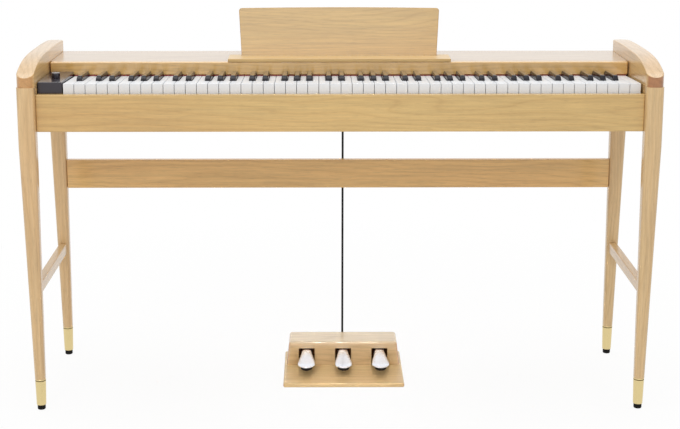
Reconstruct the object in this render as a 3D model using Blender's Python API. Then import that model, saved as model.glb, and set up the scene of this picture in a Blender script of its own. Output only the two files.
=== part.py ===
"""Digital piano on a slim oak stand, with a separate three-pedal unit on a cord.

Metres, +Z up. X runs to the player's right and the player sits at -Y. Depths below are measured back
from the front face of the legs, and at() turns a depth into Y. The origin is on the floor, under the
middle of the stand.
"""

import math

import bmesh
import bpy
from mathutils import Vector

# Clearances
FIT = 0.0003  # between pieces that sit on or against each other
KEY_SIDE_GAP = 0.0010  # between neighbouring keys

# Stand
CASE_DEPTH = 0.380
LEG_WIDTH = 0.037
LEG_DEPTH = 0.036
LEG_CORNER = 0.010  # radius of the leg's long edges
LEG_TOP_Z = 0.7157
LEG_TAPER_Z = 0.590  # the taper starts here and runs down to the ferrule
LEG_FOOT_DIAMETER = 0.0240  # where the leg enters the ferrule
LEG_FOOT_INSET = 0.0050  # how far the foot stands in from the middle of the leg's top
FERRULE_TOP_Z = 0.0700
FERRULE_TOP_DIAMETER = 0.0232
FERRULE_TIP_DIAMETER = 0.0205
FERRULE_BEVEL = 0.0008  # round the ferrule's top
TENON_DIAMETER = 0.0130
TENON_LENGTH = 0.0400
GLIDE_HEIGHT = 0.0105
GLIDE_DIAMETER = 0.0175
GLIDE_STEM_DIAMETER = 0.0070
GLIDE_STEM_LENGTH = 0.0090
SIDE_STRETCHER_Z = 0.2695  # middle of its height
SIDE_STRETCHER_HEIGHT = 0.0245
SIDE_STRETCHER_WIDTH = 0.0180
REAR_RAIL_LOW_Z = 0.4165
REAR_RAIL_HEIGHT = 0.0680
REAR_RAIL_THICK = 0.0160

# Cheeks: the arm over each pair of legs, with the case side below it
ARM_FRONT_Z = 0.7365
ARM_CROWN_Z = 0.7700
ARM_CROWN_DEPTH = 0.270
ARM_RISE_POWER = 4.6  # how fast the arm's top climbs behind its front end
ARM_REAR_FALL = 0.0035
ARM_EDGE = 0.0020  # radius along the arm's top edges
SIDE_PANEL_THICK = 0.0240

# Case
CASE_BOTTOM_Z = 0.6185
APRON_DEPTH = 0.0200
APRON_THICK = 0.0160
APRON_TOP_Z = 0.6980
BOARD_THICK = 0.0150
BOARD_RECESS = 0.0030  # the bottom board sits this far above the apron's lower edge
LID_TOP_Z = 0.7425
LID_THICK = 0.0160
LID_REAR_INSET = 0.0180  # from the cheeks' rear ends
BACK_THICK = 0.0140
FALLBOARD_DEPTH = 0.1860
FALLBOARD_THICK = 0.0180
FALLBOARD_LOW_Z = 0.7138
FALLBOARD_END_GAP = 0.0020
FELT_THICK = 0.0016
FELT_DEPTH = 0.0120

# Speakers, above oval openings in the bottom board
SPEAKER_INSET = 0.2110  # from the inner faces of the legs to the speaker's middle
SPEAKER_WALL_GAP = 0.0055  # between the speaker's flange and the back panel
SPEAKER_FRAME_GAP = 0.0045  # between the speaker's flange and the key frame
SPEAKER_LONG = 0.1180
SPEAKER_SHORT = 0.0480
SPEAKER_FLANGE = 0.0050
SPEAKER_HEIGHT = 0.0300

# Music stand
LEDGE_WIDTH = 0.4930
LEDGE_FRONT_DEPTH = 0.1840
LEDGE_LENGTH = 0.0680
LEDGE_THICK = 0.0070
DESK_DEPTH = 0.2350  # where the desk's front face meets the ledge
DESK_WIDTH = 0.4370  # at its foot
DESK_FLARE = 0.0065  # each side is this much wider at the top
DESK_TOP_Z = 0.8555
DESK_LEAN = 0.0300  # how far back its top leans
DESK_THICK = 0.0120
DESK_CORNER = 0.0065
DESK_CROWN = 0.0018  # rise of the top edge at its middle
DESK_GROOVE = 0.0025
DOWEL_X = 0.1800
DOWEL_DEPTH = 0.2250
DOWEL_DIAMETER = 0.0080
DOWEL_LENGTH = 0.0130

# Keys
WHITE_KEYS = 52
KEY_PITCH = 0.0235
KEYS_END_GAP = 0.0050  # between the last key and the case side
KEY_FRONT_DEPTH = 0.0380
KEY_FRONT_TOP_Z = 0.7188
KEY_REAR_TOP_Z = 0.7115  # where the white tops pass under the fallboard
KEY_FRONT_LOW_Z = 0.6930
KEY_ARM_LOW_Z = 0.6970
KEY_HEAD = 0.0490
KEY_CHAMFER = 0.0008
SHOULDER = 0.0010
BLACK_WIDTH = 0.0122
BLACK_TOP_WIDTH = 0.0096
BLACK_HEIGHT = 0.0115
BLACK_FRONT_SLOPE = 0.0045
BLACK_FRONT_FOOT = 0.0020
BLACK_FRONT_GAP = 0.0014  # room for the cap to swing forward as it goes down
BLACK_END_GAP = 0.0012
BLACK_ARM_DROP = 0.0010
PIVOT_INSET = 0.1180  # from the cheeks' rear ends to the keys' pivot
PIVOT_Z = 0.6997
PIVOT_RADIUS = 0.0030
PIVOT_PLAY = 0.0003
COMB_RAIL_GAP = 0.0100  # from the pivot to the rails that join each set's keys
COMB_RAIL_LENGTH = 0.0120
COMB_RAIL_THICK = 0.0033
COMB_RAIL_STEP = 0.0050
COMB_TOP_RAIL_Z = 0.7033

# Key frame
FRAME_SHEET = 0.0030
FRAME_FRONT_DEPTH = 0.0440
STOP_RAIL_DEPTH = 0.0560
STOP_RAIL_TOP_Z = 0.6830
FRAME_GUSSET = 0.0300

# Control block and knob
BLOCK_WIDTH = 0.0520
BLOCK_TOP_Z = 0.7220
BLOCK_GAP = 0.0015
BLOCK_EDGE = 0.0012
KNOB_INSET = 0.0280  # from the block's left side to the knob's middle
KNOB_DEPTH = 0.1000
KNOB_DIAMETER = 0.0190
KNOB_HEIGHT = 0.0110
KNOB_STEM_DIAMETER = 0.0060
KNOB_STEM_LENGTH = 0.0080

# Pedal unit
PEDAL_X = 0.0105
BASE_WIDTH = 0.2760
BASE_FRONT_DEPTH = 0.1360
BASE_REAR_DEPTH = 0.3470
BASE_THICK = 0.0110
BOX_FOOT_WIDTH = 0.2660
BOX_TOP_WIDTH = 0.2530
BOX_FRONT_DEPTH = 0.2510
BOX_REAR_DEPTH = 0.3250
BOX_TOP_Z = 0.0685
BOX_WALL = 0.0100
BOX_EDGE = 0.0025
MOUTH_WIDTH = 0.0375
MOUTH_TOP_Z = 0.0525
PEDAL_PITCH = 0.0855
PEDAL_TIP_DEPTH = 0.1690
PEDAL_NOSE = 0.0210  # from the pedal's tip to its widest place
PEDAL_WIDTH = 0.0395
PEDAL_NECK_WIDTH = 0.0230
PEDAL_MOUTH_TOP_Z = 0.0485  # the pedal's top where it comes out of the housing
PEDAL_WIDE_TOP_Z = 0.0405
PEDAL_TIP_DROP = 0.0040
PEDAL_THICK = 0.0085
PEDAL_SOLE = 0.86  # the flat underside's share of the pedal's width
AXLE_DEPTH = 0.3000
AXLE_Z = 0.0375
AXLE_DIAMETER = 0.0060
AXLE_PLAY = 0.0003
HUB_DIAMETER = 0.0150

# Cord
CORD_DIAMETER = 0.0050
CORD_DEPTH = 0.3720
CORD_LOW_Z = 0.0280
RELIEF_LENGTH = 0.0200
RELIEF_ROOT_DIAMETER = 0.0110
RELIEF_TIP_DIAMETER = 0.0070
RELIEF_PEG_LENGTH = 0.0080
PLUG_DIAMETER = 0.0110
PLUG_LOW_Z = 0.6400
PLUG_HEIGHT = 0.0280
PLUG_PIN_DIAMETER = 0.0063
PLUG_PIN_Z = 0.6590
PLUG_PIN_LENGTH = 0.0120
PLUG_SLEEVE = 0.0100

# Places that follow from the sizes above
KEYS_WIDTH = WHITE_KEYS * KEY_PITCH
INNER_X = (BLOCK_GAP + BLOCK_WIDTH + BLOCK_GAP + KEYS_WIDTH + KEYS_END_GAP) / 2
LEG_AXIS_X = INNER_X + LEG_WIDTH / 2
KEYS_RIGHT_X = INNER_X - KEYS_END_GAP
KEYS_LEFT_X = KEYS_RIGHT_X - KEYS_WIDTH
KNOB_X = -INNER_X + BLOCK_GAP + KNOB_INSET
SPEAKER_X = INNER_X - SPEAKER_INSET
FRONT_LEG_DEPTH = LEG_DEPTH / 2
REAR_LEG_DEPTH = CASE_DEPTH - LEG_DEPTH / 2
BOARD_LOW_Z = CASE_BOTTOM_Z + BOARD_RECESS
BOARD_TOP_Z = BOARD_LOW_Z + BOARD_THICK
LID_REAR_DEPTH = CASE_DEPTH - LID_REAR_INSET
BACK_FRONT_DEPTH = LID_REAR_DEPTH - BACK_THICK
SPEAKER_DEPTH = BACK_FRONT_DEPTH - SPEAKER_WALL_GAP - SPEAKER_SHORT / 2
FRAME_REAR_DEPTH = SPEAKER_DEPTH - SPEAKER_SHORT / 2 - SPEAKER_FRAME_GAP
PIVOT_DEPTH = CASE_DEPTH - PIVOT_INSET
COMB_RAIL_DEPTH = PIVOT_DEPTH + COMB_RAIL_GAP
PEDAL_WIDE_DEPTH = PEDAL_TIP_DEPTH + PEDAL_NOSE
ROUND = 24  # sides of the larger turned pieces
SMALL_ROUND = 16


def at(depth):
    """Y of a depth behind the legs' front face."""
    return depth - CASE_DEPTH / 2


def make_material(name, colour, roughness, metallic=0.0):
    material = bpy.data.materials.new(name)
    material.use_nodes = True
    shader = material.node_tree.nodes["Principled BSDF"]
    shader.inputs["Base Color"].default_value = (*colour, 1.0)
    shader.inputs["Roughness"].default_value = roughness
    shader.inputs["Metallic"].default_value = metallic
    material.diffuse_color = (*colour, 1.0)
    return material


def make_object(name, bm, material, smooth=False):
    """A named object from a bmesh whose faces are turned outwards here."""
    bmesh.ops.recalc_face_normals(bm, faces=bm.faces)
    mesh = bpy.data.meshes.new(name)
    bm.to_mesh(mesh)
    bm.free()
    if smooth:
        mesh.shade_smooth()
        mesh.set_sharp_from_angle(angle=math.radians(35))
    item = bpy.data.objects.new(name, mesh)
    item.data.materials.append(material)
    bpy.context.scene.collection.objects.link(item)
    return item


def add_loft(bm, rings):
    """A closed skin through rings of as many points each, with a flat cap on the first and the last."""
    rows = [[bm.verts.new(point) for point in ring] for ring in rings]
    count = len(rows[0])
    for lower, upper in zip(rows, rows[1:]):
        for i in range(count):
            j = (i + 1) % count
            bm.faces.new((lower[i], lower[j], upper[j], upper[i]))
    bm.faces.new(rows[0][::-1])
    bm.faces.new(rows[-1])


def loft(name, rings, material, smooth=False):
    bm = bmesh.new()
    add_loft(bm, rings)
    return make_object(name, bm, material, smooth)


def box_rings(low, high):
    """The two rings of a plain box between its lowest and highest corners."""
    corners = [(low[0], low[1]), (high[0], low[1]), (high[0], high[1]), (low[0], high[1])]
    return [[(x, y, z) for x, y in corners] for z in (low[2], high[2])]


def make_box(name, low, high, material, edge=0.0):
    """A box from its lowest to its highest corner, with its edges rounded."""
    item = loft(name, box_rings(low, high), material)
    if edge > 0:
        bevel = item.modifiers.new("rounded edges", "BEVEL")
        bevel.width = edge
        bevel.segments = 2
        bevel.limit_method = "ANGLE"
    return item


def prism_rings(outline, start, stop):
    """Rings along X of an outline given as (depth, z) points."""
    return [[(x, at(depth), z) for depth, z in outline] for x in (start, stop)]


def circle(radius, count, start=0.0):
    step = 2 * math.pi / count
    return [(radius * math.cos(start + i * step), radius * math.sin(start + i * step)) for i in range(count)]


def turned_rings(profile, count, x, y):
    """Rings round a vertical line at x, y, from (radius, z) points."""
    return [[(x + a, y + b, z) for a, b in circle(radius, count)] for radius, z in profile]


def rounded_outline(width, depth, corner, steps=4):
    """Points of a rectangle with rounded corners, centred on the origin."""
    points = []
    for turn, (sx, sy) in enumerate(((1, 1), (-1, 1), (-1, -1), (1, -1))):
        centre_x = sx * (width / 2 - corner)
        centre_y = sy * (depth / 2 - corner)
        for i in range(steps + 1):
            angle = math.pi / 2 * (turn + i / steps)
            points.append((centre_x + corner * math.cos(angle), centre_y + corner * math.sin(angle)))
    return points


def helper(item):
    """Marks an object that only cuts or joins another."""
    item.hide_render = True
    item.display_type = "WIRE"
    return item


def combine(item, other, operation):
    """Cuts item by a helper, or joins the helper to it."""
    modifier = item.modifiers.new(other.name, "BOOLEAN")
    modifier.operation = operation
    modifier.object = helper(other)
    modifier.solver = "EXACT"


def fused(name, items, material, origin):
    """One object from several overlapping ones, with its origin on its joint's axis."""
    first, others = items[0], items[1:]
    for other in others:
        combine(first, other, "UNION")
    graph = bpy.context.evaluated_depsgraph_get()
    mesh = bpy.data.meshes.new_from_object(first.evaluated_get(graph))
    for piece in items:
        old = piece.data
        bpy.data.objects.remove(piece)
        bpy.data.meshes.remove(old)
    mesh.materials.clear()
    mesh.materials.append(material)
    item = bpy.data.objects.new(name, mesh)
    bpy.context.scene.collection.objects.link(item)
    set_origin(item, origin)
    return item


def set_origin(item, point):
    """Moves an object's origin to a point and leaves its shape where it is."""
    for vertex in item.data.vertices:
        vertex.co -= Vector(point)
    item.location = point


def leg_axis(z):
    """How far in from the leg's top axis its section has moved at height z."""
    share = min(max((LEG_TAPER_Z - z) / (LEG_TAPER_Z - FERRULE_TOP_Z), 0.0), 1.0)
    return share * LEG_FOOT_INSET


def leg_half_depth(z):
    share = min(max((LEG_TAPER_Z - z) / (LEG_TAPER_Z - FERRULE_TOP_Z), 0.0), 1.0)
    return (LEG_DEPTH + share * (LEG_FOOT_DIAMETER - LEG_DEPTH)) / 2


def leg_inner_x(z):
    """X of the leg's inner face at height z."""
    share = min(max((LEG_TAPER_Z - z) / (LEG_TAPER_Z - FERRULE_TOP_Z), 0.0), 1.0)
    half_width = (LEG_WIDTH + share * (LEG_FOOT_DIAMETER - LEG_WIDTH)) / 2
    return LEG_AXIS_X - leg_axis(z) - half_width


def leg(name, side, depth, oak):
    """Rounded square at the top, round at the foot, with a tenon for the ferrule."""
    top_x = side * LEG_AXIS_X
    foot_x = side * (LEG_AXIS_X - LEG_FOOT_INSET)
    square = rounded_outline(LEG_WIDTH, LEG_DEPTH, LEG_CORNER)
    scale = LEG_FOOT_DIAMETER / 2
    directions = [Vector(point).normalized() for point in rounded_outline(LEG_WIDTH, LEG_WIDTH, LEG_CORNER)]
    shoulder_z = FERRULE_TOP_Z + FIT
    tenon = TENON_DIAMETER / 2
    rings = [[(top_x + x, at(depth) + y, z) for x, y in square] for z in (LEG_TOP_Z, LEG_TAPER_Z)]
    for radius, z in ((scale, shoulder_z), (tenon, shoulder_z), (tenon, FERRULE_TOP_Z - TENON_LENGTH)):
        rings.append([(foot_x + radius * d.x, at(depth) + radius * d.y, z) for d in directions])
    return loft(name, rings, oak, smooth=True)


def ferrule(name, side, depth, brass):
    """A tapered brass cup: the leg's tenon goes in at the top and the glide's stem at the bottom."""
    collar = FERRULE_TOP_DIAMETER / 2
    socket = TENON_DIAMETER / 2 + FIT
    stem = GLIDE_STEM_DIAMETER / 2 + FIT
    low = GLIDE_HEIGHT + FIT
    profile = [
        (stem, low + GLIDE_STEM_LENGTH),
        (stem, low),
        (FERRULE_TIP_DIAMETER / 2, low),
        (collar, FERRULE_TOP_Z - FERRULE_BEVEL),
        (collar - FERRULE_BEVEL, FERRULE_TOP_Z),
        (socket, FERRULE_TOP_Z),
        (socket, FERRULE_TOP_Z - TENON_LENGTH - FIT),
    ]
    x = side * (LEG_AXIS_X - LEG_FOOT_INSET)
    return loft(name, turned_rings(profile, ROUND, x, at(depth)), brass, smooth=True)


def glide(name, side, depth, rubber):
    """The black foot under the ferrule, with its stem."""
    radius = GLIDE_DIAMETER / 2
    edge = radius / 4
    stem = GLIDE_STEM_DIAMETER / 2
    profile = [
        (radius - edge, 0.0),
        (radius, edge),
        (radius, GLIDE_HEIGHT - edge),
        (radius - edge, GLIDE_HEIGHT),
        (stem, GLIDE_HEIGHT),
        (stem, GLIDE_HEIGHT + GLIDE_STEM_LENGTH),
    ]
    x = side * (LEG_AXIS_X - LEG_FOOT_INSET)
    return loft(name, turned_rings(profile, ROUND, x, at(depth)), rubber, smooth=True)


def build_legs(oak, brass, rubber):
    for end, depth in (("front", FRONT_LEG_DEPTH), ("rear", REAR_LEG_DEPTH)):
        for hand, side in (("left", -1), ("right", 1)):
            leg(f"leg_{end}_{hand}", side, depth, oak)
            ferrule(f"ferrule_{end}_{hand}", side, depth, brass)
            glide(f"glide_{end}_{hand}", side, depth, rubber)


def build_stretchers(oak):
    low = SIDE_STRETCHER_Z - SIDE_STRETCHER_HEIGHT / 2
    reach = leg_half_depth(low + SIDE_STRETCHER_HEIGHT) + FIT
    for hand, side in (("left", -1), ("right", 1)):
        middle = side * (LEG_AXIS_X - leg_axis(SIDE_STRETCHER_Z))
        make_box(
            f"side_stretcher_{hand}",
            (middle - SIDE_STRETCHER_WIDTH / 2, at(FRONT_LEG_DEPTH + reach), low),
            (middle + SIDE_STRETCHER_WIDTH / 2, at(REAR_LEG_DEPTH - reach), low + SIDE_STRETCHER_HEIGHT),
            oak,
            edge=0.0020,
        )
    half = leg_inner_x(REAR_RAIL_LOW_Z + REAR_RAIL_HEIGHT) - FIT
    front = REAR_LEG_DEPTH - REAR_RAIL_THICK / 2 - 0.0020
    make_box(
        "rear_stretcher",
        (-half, at(front), REAR_RAIL_LOW_Z),
        (half, at(front + REAR_RAIL_THICK), REAR_RAIL_LOW_Z + REAR_RAIL_HEIGHT),
        oak,
        edge=0.0015,
    )


def arm_top(depth):
    """Height of the arm's top: a quick climb behind its front end, then a long flat crown."""
    if depth < ARM_CROWN_DEPTH:
        share = 1.0 - depth / ARM_CROWN_DEPTH
        return ARM_CROWN_Z - (ARM_CROWN_Z - ARM_FRONT_Z) * share**ARM_RISE_POWER
    share = (depth - ARM_CROWN_DEPTH) / (CASE_DEPTH - ARM_CROWN_DEPTH)
    return ARM_CROWN_Z - ARM_REAR_FALL * share**2


def arm_stations():
    """(depth, half width) along the arm, whose two ends are half round in plan."""
    radius = LEG_WIDTH / 2
    angles = [math.radians(7.5 + 15.0 * i) for i in range(6)]
    front = [(radius * (1 - math.cos(a)), radius * math.sin(a)) for a in angles]
    straight = [(radius + (CASE_DEPTH - 2 * radius) * t, radius) for t in (0.0, 0.05, 0.11, 0.2, 0.34, 0.6, 0.8, 1.0)]
    rear = [(CASE_DEPTH - depth, half) for depth, half in reversed(front)]
    return front + straight + rear


def arm_section(middle, depth, half):
    """The arm's section: flat below, with both top edges rounded."""
    top = arm_top(depth)
    edge = min(ARM_EDGE, 0.8 * half)
    near = edge * (1 - math.sqrt(0.5))
    low = LEG_TOP_Z + FIT
    right = [(half, low), (half, top - edge), (half - near, top - near), (half - edge, top)]
    left = [(-x, z) for x, z in reversed(right)]
    return [(middle + x, at(depth), z) for x, z in right + left]


def build_cheeks(oak):
    """Each cheek is one board: the shaped arm on the legs, and the case side let in between them."""
    for hand, side in (("left", -1), ("right", 1)):
        middle = side * LEG_AXIS_X
        rings = [arm_section(middle, depth, half) for depth, half in arm_stations()]
        cheek = loft(f"cheek_{hand}", rings, oak, smooth=True)
        faces = sorted((side * INNER_X, side * (INNER_X + SIDE_PANEL_THICK)))
        panel = make_box(
            f"cheek_{hand}_panel",
            (faces[0], at(LEG_DEPTH + FIT), CASE_BOTTOM_Z),
            (faces[1], at(CASE_DEPTH - LEG_DEPTH - FIT), LEG_TOP_Z + 2 * ARM_EDGE),
            oak,
        )
        combine(cheek, panel, "UNION")


def build_case(oak):
    inside = INNER_X - FIT
    make_box(
        "apron",
        (-inside, at(APRON_DEPTH), CASE_BOTTOM_Z),
        (inside, at(APRON_DEPTH + APRON_THICK), APRON_TOP_Z),
        oak,
        edge=0.0015,
    )
    make_box(
        "lid",
        (-inside, at(FALLBOARD_DEPTH + FALLBOARD_THICK + FIT), LID_TOP_Z - LID_THICK),
        (inside, at(LID_REAR_DEPTH), LID_TOP_Z),
        oak,
        edge=0.0010,
    )
    half = INNER_X - FALLBOARD_END_GAP
    make_box(
        "fallboard",
        (-half, at(FALLBOARD_DEPTH), FALLBOARD_LOW_Z),
        (half, at(FALLBOARD_DEPTH + FALLBOARD_THICK), LID_TOP_Z),
        oak,
        edge=0.0025,
    )


def build_bottom_board(oak):
    inside = INNER_X - FIT
    board = make_box(
        "bottom_board",
        (-inside, at(APRON_DEPTH + APRON_THICK + FIT), BOARD_LOW_Z),
        (inside, at(BACK_FRONT_DEPTH - FIT), BOARD_TOP_Z),
        oak,
    )
    for hand, side in (("left", -1), ("right", 1)):
        combine(board, speaker_opening(f"speaker_opening_{hand}", side, oak), "DIFFERENCE")


def oval_rings(profile, x, y, stretch):
    """Turned rings round the origin, drawn out along X and then moved to x, y."""
    rings = turned_rings(profile, ROUND, 0.0, 0.0)
    return [[(x + a * stretch, y + b, z) for a, b, z in ring] for ring in rings]


def speaker_opening(name, side, material):
    radius = SPEAKER_SHORT / 2 - SPEAKER_FLANGE
    profile = [(radius, BOARD_LOW_Z - BOARD_THICK), (radius, BOARD_TOP_Z + BOARD_THICK)]
    stretch = SPEAKER_LONG / SPEAKER_SHORT
    return loft(name, oval_rings(profile, side * SPEAKER_X, at(SPEAKER_DEPTH), stretch), material)


def build_speakers(black):
    """Oval drivers that face down: a flange, a dished cone seen from below, and the magnet on top."""
    low = BOARD_TOP_Z + FIT
    outer = SPEAKER_SHORT / 2
    hole = outer - SPEAKER_FLANGE
    profile = [
        (hole * 0.35, low + SPEAKER_HEIGHT * 0.35),
        (hole * 0.92, low + SPEAKER_FLANGE * 0.3),
        (hole, low),
        (outer, low),
        (outer, low + SPEAKER_FLANGE * 0.6),
        (hole, low + SPEAKER_FLANGE * 0.9),
        (hole * 0.62, low + SPEAKER_HEIGHT * 0.55),
        (hole * 0.62, low + SPEAKER_HEIGHT),
    ]
    stretch = SPEAKER_LONG / SPEAKER_SHORT
    for hand, side in (("left", -1), ("right", 1)):
        rings = oval_rings(profile, side * SPEAKER_X, at(SPEAKER_DEPTH), stretch)
        loft(f"speaker_{hand}", rings, black, smooth=True)


def cylinder_along_y(name, x, z, front, rear, radius, count, material):
    rings = [[(x + a, at(depth), z + b) for a, b in circle(radius, count)] for depth in (front, rear)]
    return loft(name, rings, material, smooth=True)


def build_back(oak):
    """The back panel, with the bore that the pedal cord's plug goes into."""
    inside = INNER_X - FIT
    panel = make_box(
        "back_panel",
        (-inside, at(BACK_FRONT_DEPTH), BOARD_LOW_Z),
        (inside, at(LID_REAR_DEPTH), LID_TOP_Z - LID_THICK - FIT),
        oak,
    )
    bore = cylinder_along_y(
        "pedal_socket_bore",
        PEDAL_X,
        PLUG_PIN_Z,
        BACK_FRONT_DEPTH - BACK_THICK,
        LID_REAR_DEPTH + BACK_THICK,
        PLUG_PIN_DIAMETER / 2 + FIT,
        SMALL_ROUND,
        oak,
    )
    combine(panel, bore, "DIFFERENCE")


def build_felt(felt):
    """The felt strip under the fallboard, just clear of the key tops."""
    top = FALLBOARD_LOW_Z - FIT
    make_box(
        "felt_strip",
        (KEYS_LEFT_X, at(FALLBOARD_DEPTH + FIT), top - FELT_THICK),
        (KEYS_RIGHT_X, at(FALLBOARD_DEPTH + FIT + FELT_DEPTH), top),
        felt,
    )


def desk_lean():
    return math.atan2(DESK_LEAN, DESK_TOP_Z - (LID_TOP_Z + FIT + LEDGE_THICK))


def desk_point(x, rise, thick):
    """A point of the leaning desk: rise runs up its front face from the ledge's top."""
    ledge_top = LID_TOP_Z + FIT + LEDGE_THICK
    lean = desk_lean()
    depth = DESK_DEPTH + rise * math.sin(lean) + thick * math.cos(lean)
    return (x, at(depth), ledge_top + rise * math.cos(lean) - thick * math.sin(lean))


def desk_outline():
    """(x, rise) round the desk: wider at the top, with rounded top corners and a slight crown."""
    ledge_top = LID_TOP_Z + FIT + LEDGE_THICK
    length = math.hypot(DESK_TOP_Z - ledge_top, DESK_LEAN)
    foot = -DESK_GROOVE + FIT
    right = [(DESK_WIDTH / 2, foot)]
    shoulder = DESK_WIDTH / 2 + DESK_FLARE
    for i in range(5):
        angle = math.pi / 2 * i / 4
        x = shoulder - DESK_CORNER + DESK_CORNER * math.cos(angle)
        right.append((x, length - DESK_CROWN - DESK_CORNER + DESK_CORNER * math.sin(angle)))
    crown = [(shoulder * t, length - DESK_CROWN * t * t) for t in (0.75, 0.5, 0.25, 0.0)]
    left = [(-x, rise) for x, rise in reversed(right)]
    return right + crown + [(-x, rise) for x, rise in reversed(crown[:-1])] + left


def build_music_stand(oak):
    """A ledge on two dowels that drop into the lid, and the leaning desk in the ledge's groove."""
    low = LID_TOP_Z + FIT
    lift_axis = (0.0, at(DOWEL_DEPTH), low)
    ledge = make_box(
        "music_ledge",
        (-LEDGE_WIDTH / 2, at(LEDGE_FRONT_DEPTH), low),
        (LEDGE_WIDTH / 2, at(LEDGE_FRONT_DEPTH + LEDGE_LENGTH), low + LEDGE_THICK),
        oak,
        edge=0.0010,
    )
    sunk = DESK_GROOVE + DESK_THICK * math.tan(desk_lean())
    spread = sunk * DESK_FLARE / (DESK_TOP_Z - LID_TOP_Z - LEDGE_THICK)
    half = DESK_WIDTH / 2 + spread + FIT
    low_edge, high_edge = -DESK_GROOVE, DESK_THICK
    front, back = -FIT, DESK_THICK + FIT
    corners = ((low_edge, front), (low_edge, back), (high_edge, back), (high_edge, front))
    rings = [[desk_point(x, rise, thick) for rise, thick in corners] for x in (-half, half)]
    combine(ledge, loft("desk_groove", rings, oak), "DIFFERENCE")
    lid = bpy.data.objects["lid"]
    for hand, side in (("left", -1), ("right", 1)):
        x, y = side * DOWEL_X, at(DOWEL_DEPTH)
        pin = [(DOWEL_DIAMETER / 2 * 0.8, low - DOWEL_LENGTH), (DOWEL_DIAMETER / 2, low - DOWEL_LENGTH * 0.9)]
        pin.append((DOWEL_DIAMETER / 2, low + LEDGE_THICK / 2))
        dowel = loft(f"dowel_{hand}", turned_rings(pin, SMALL_ROUND, x, y), oak)
        combine(ledge, dowel, "UNION")
        radius = DOWEL_DIAMETER / 2 + FIT
        hole = [(radius, low - DOWEL_LENGTH - FIT), (radius, low + LEDGE_THICK)]
        combine(lid, loft(f"dowel_hole_{hand}", turned_rings(hole, SMALL_ROUND, x, y), oak), "DIFFERENCE")
    set_origin(ledge, lift_axis)
    outline = desk_outline()
    front = [desk_point(x, rise, 0.0) for x, rise in outline]
    back = [desk_point(x, rise, DESK_THICK) for x, rise in outline]
    desk = loft("music_desk", [front, back], oak, smooth=True)
    set_origin(desk, lift_axis)


def white_top(depth):
    """Height of the white key tops, which fall towards the fallboard."""
    share = (depth - KEY_FRONT_DEPTH) / (FALLBOARD_DEPTH - KEY_FRONT_DEPTH)
    return KEY_FRONT_TOP_Z + (KEY_REAR_TOP_Z - KEY_FRONT_TOP_Z) * share


def letter(index):
    return "ABCDEFG"[index % 7]


def octave(index):
    """Which comb set a white key, or the black key on its right, belongs to: 1 for the lowest."""
    return min(max((index - 2) // 7, 0), 6) + 1


def has_black_after(index):
    return letter(index) in "ACDFG" and index < WHITE_KEYS - 1


def black_middle(index):
    """X of the black key between white keys index and index + 1."""
    offset = {"C": -1 / 10, "D": 1 / 10, "F": -1 / 7, "G": 0.0, "A": 1 / 7}[letter(index)]
    return KEYS_LEFT_X + (index + 1 + offset) * KEY_PITCH


def key_section(depth, left, right, low, high, inset, drop):
    """A key's section at one depth, with its two top edges moved in and down."""
    points = [(left, low), (right, low), (right, high - drop), (right - inset, high)]
    points += [(left + inset, high), (left, high - drop)]
    return [(x, at(depth), z) for x, z in points]


def comb_rail_z(level):
    return COMB_TOP_RAIL_Z - level * COMB_RAIL_STEP


def arm_rings(left, right, level, top):
    """The back of a key: over the pivot bead in a V, then up or down to its comb's rail."""
    notch = (PIVOT_RADIUS + PIVOT_PLAY) * math.sqrt(2)
    apex = PIVOT_Z + notch
    reach = apex - KEY_ARM_LOW_Z
    rail = comb_rail_z(level)
    margin = COMB_RAIL_THICK / 8
    thin = KEY_CHAMFER
    front, back = PIVOT_DEPTH - reach, PIVOT_DEPTH + reach
    jog = max(COMB_RAIL_DEPTH - SHOULDER / 2, back + SHOULDER)
    stations = [
        (front, KEY_ARM_LOW_Z, top(front)),
        (PIVOT_DEPTH, apex, top(PIVOT_DEPTH)),
        (back, KEY_ARM_LOW_Z, top(back)),
        (jog, rail + margin, rail + COMB_RAIL_THICK - margin),
        (COMB_RAIL_DEPTH + COMB_RAIL_LENGTH / 3, rail + margin, rail + COMB_RAIL_THICK - margin),
    ]
    return [key_section(depth, left, right, low, high, thin, thin) for depth, low, high in stations]


def white_key(name, index, level, material):
    left = KEYS_LEFT_X + index * KEY_PITCH + KEY_SIDE_GAP / 2
    right = left + KEY_PITCH - KEY_SIDE_GAP
    reach = BLACK_WIDTH / 2 + KEY_SIDE_GAP
    neck_left, neck_right = left, right
    if index > 0 and has_black_after(index - 1):
        neck_left = black_middle(index - 1) + reach
    if has_black_after(index):
        neck_right = black_middle(index) - reach
    front, head, cut = KEY_FRONT_DEPTH, KEY_FRONT_DEPTH + KEY_HEAD, KEY_CHAMFER
    rings = [
        key_section(front, left, right, KEY_FRONT_LOW_Z, white_top(front) - cut, cut, cut),
        key_section(front + cut, left, right, KEY_FRONT_LOW_Z, white_top(front), cut, cut),
        key_section(head, left, right, KEY_FRONT_LOW_Z, white_top(head), cut, cut),
        key_section(head + SHOULDER, neck_left, neck_right, KEY_FRONT_LOW_Z, white_top(head), cut, cut),
    ]
    rings += arm_rings(neck_left, neck_right, level, white_top)
    return loft(name, rings, material)


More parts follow.
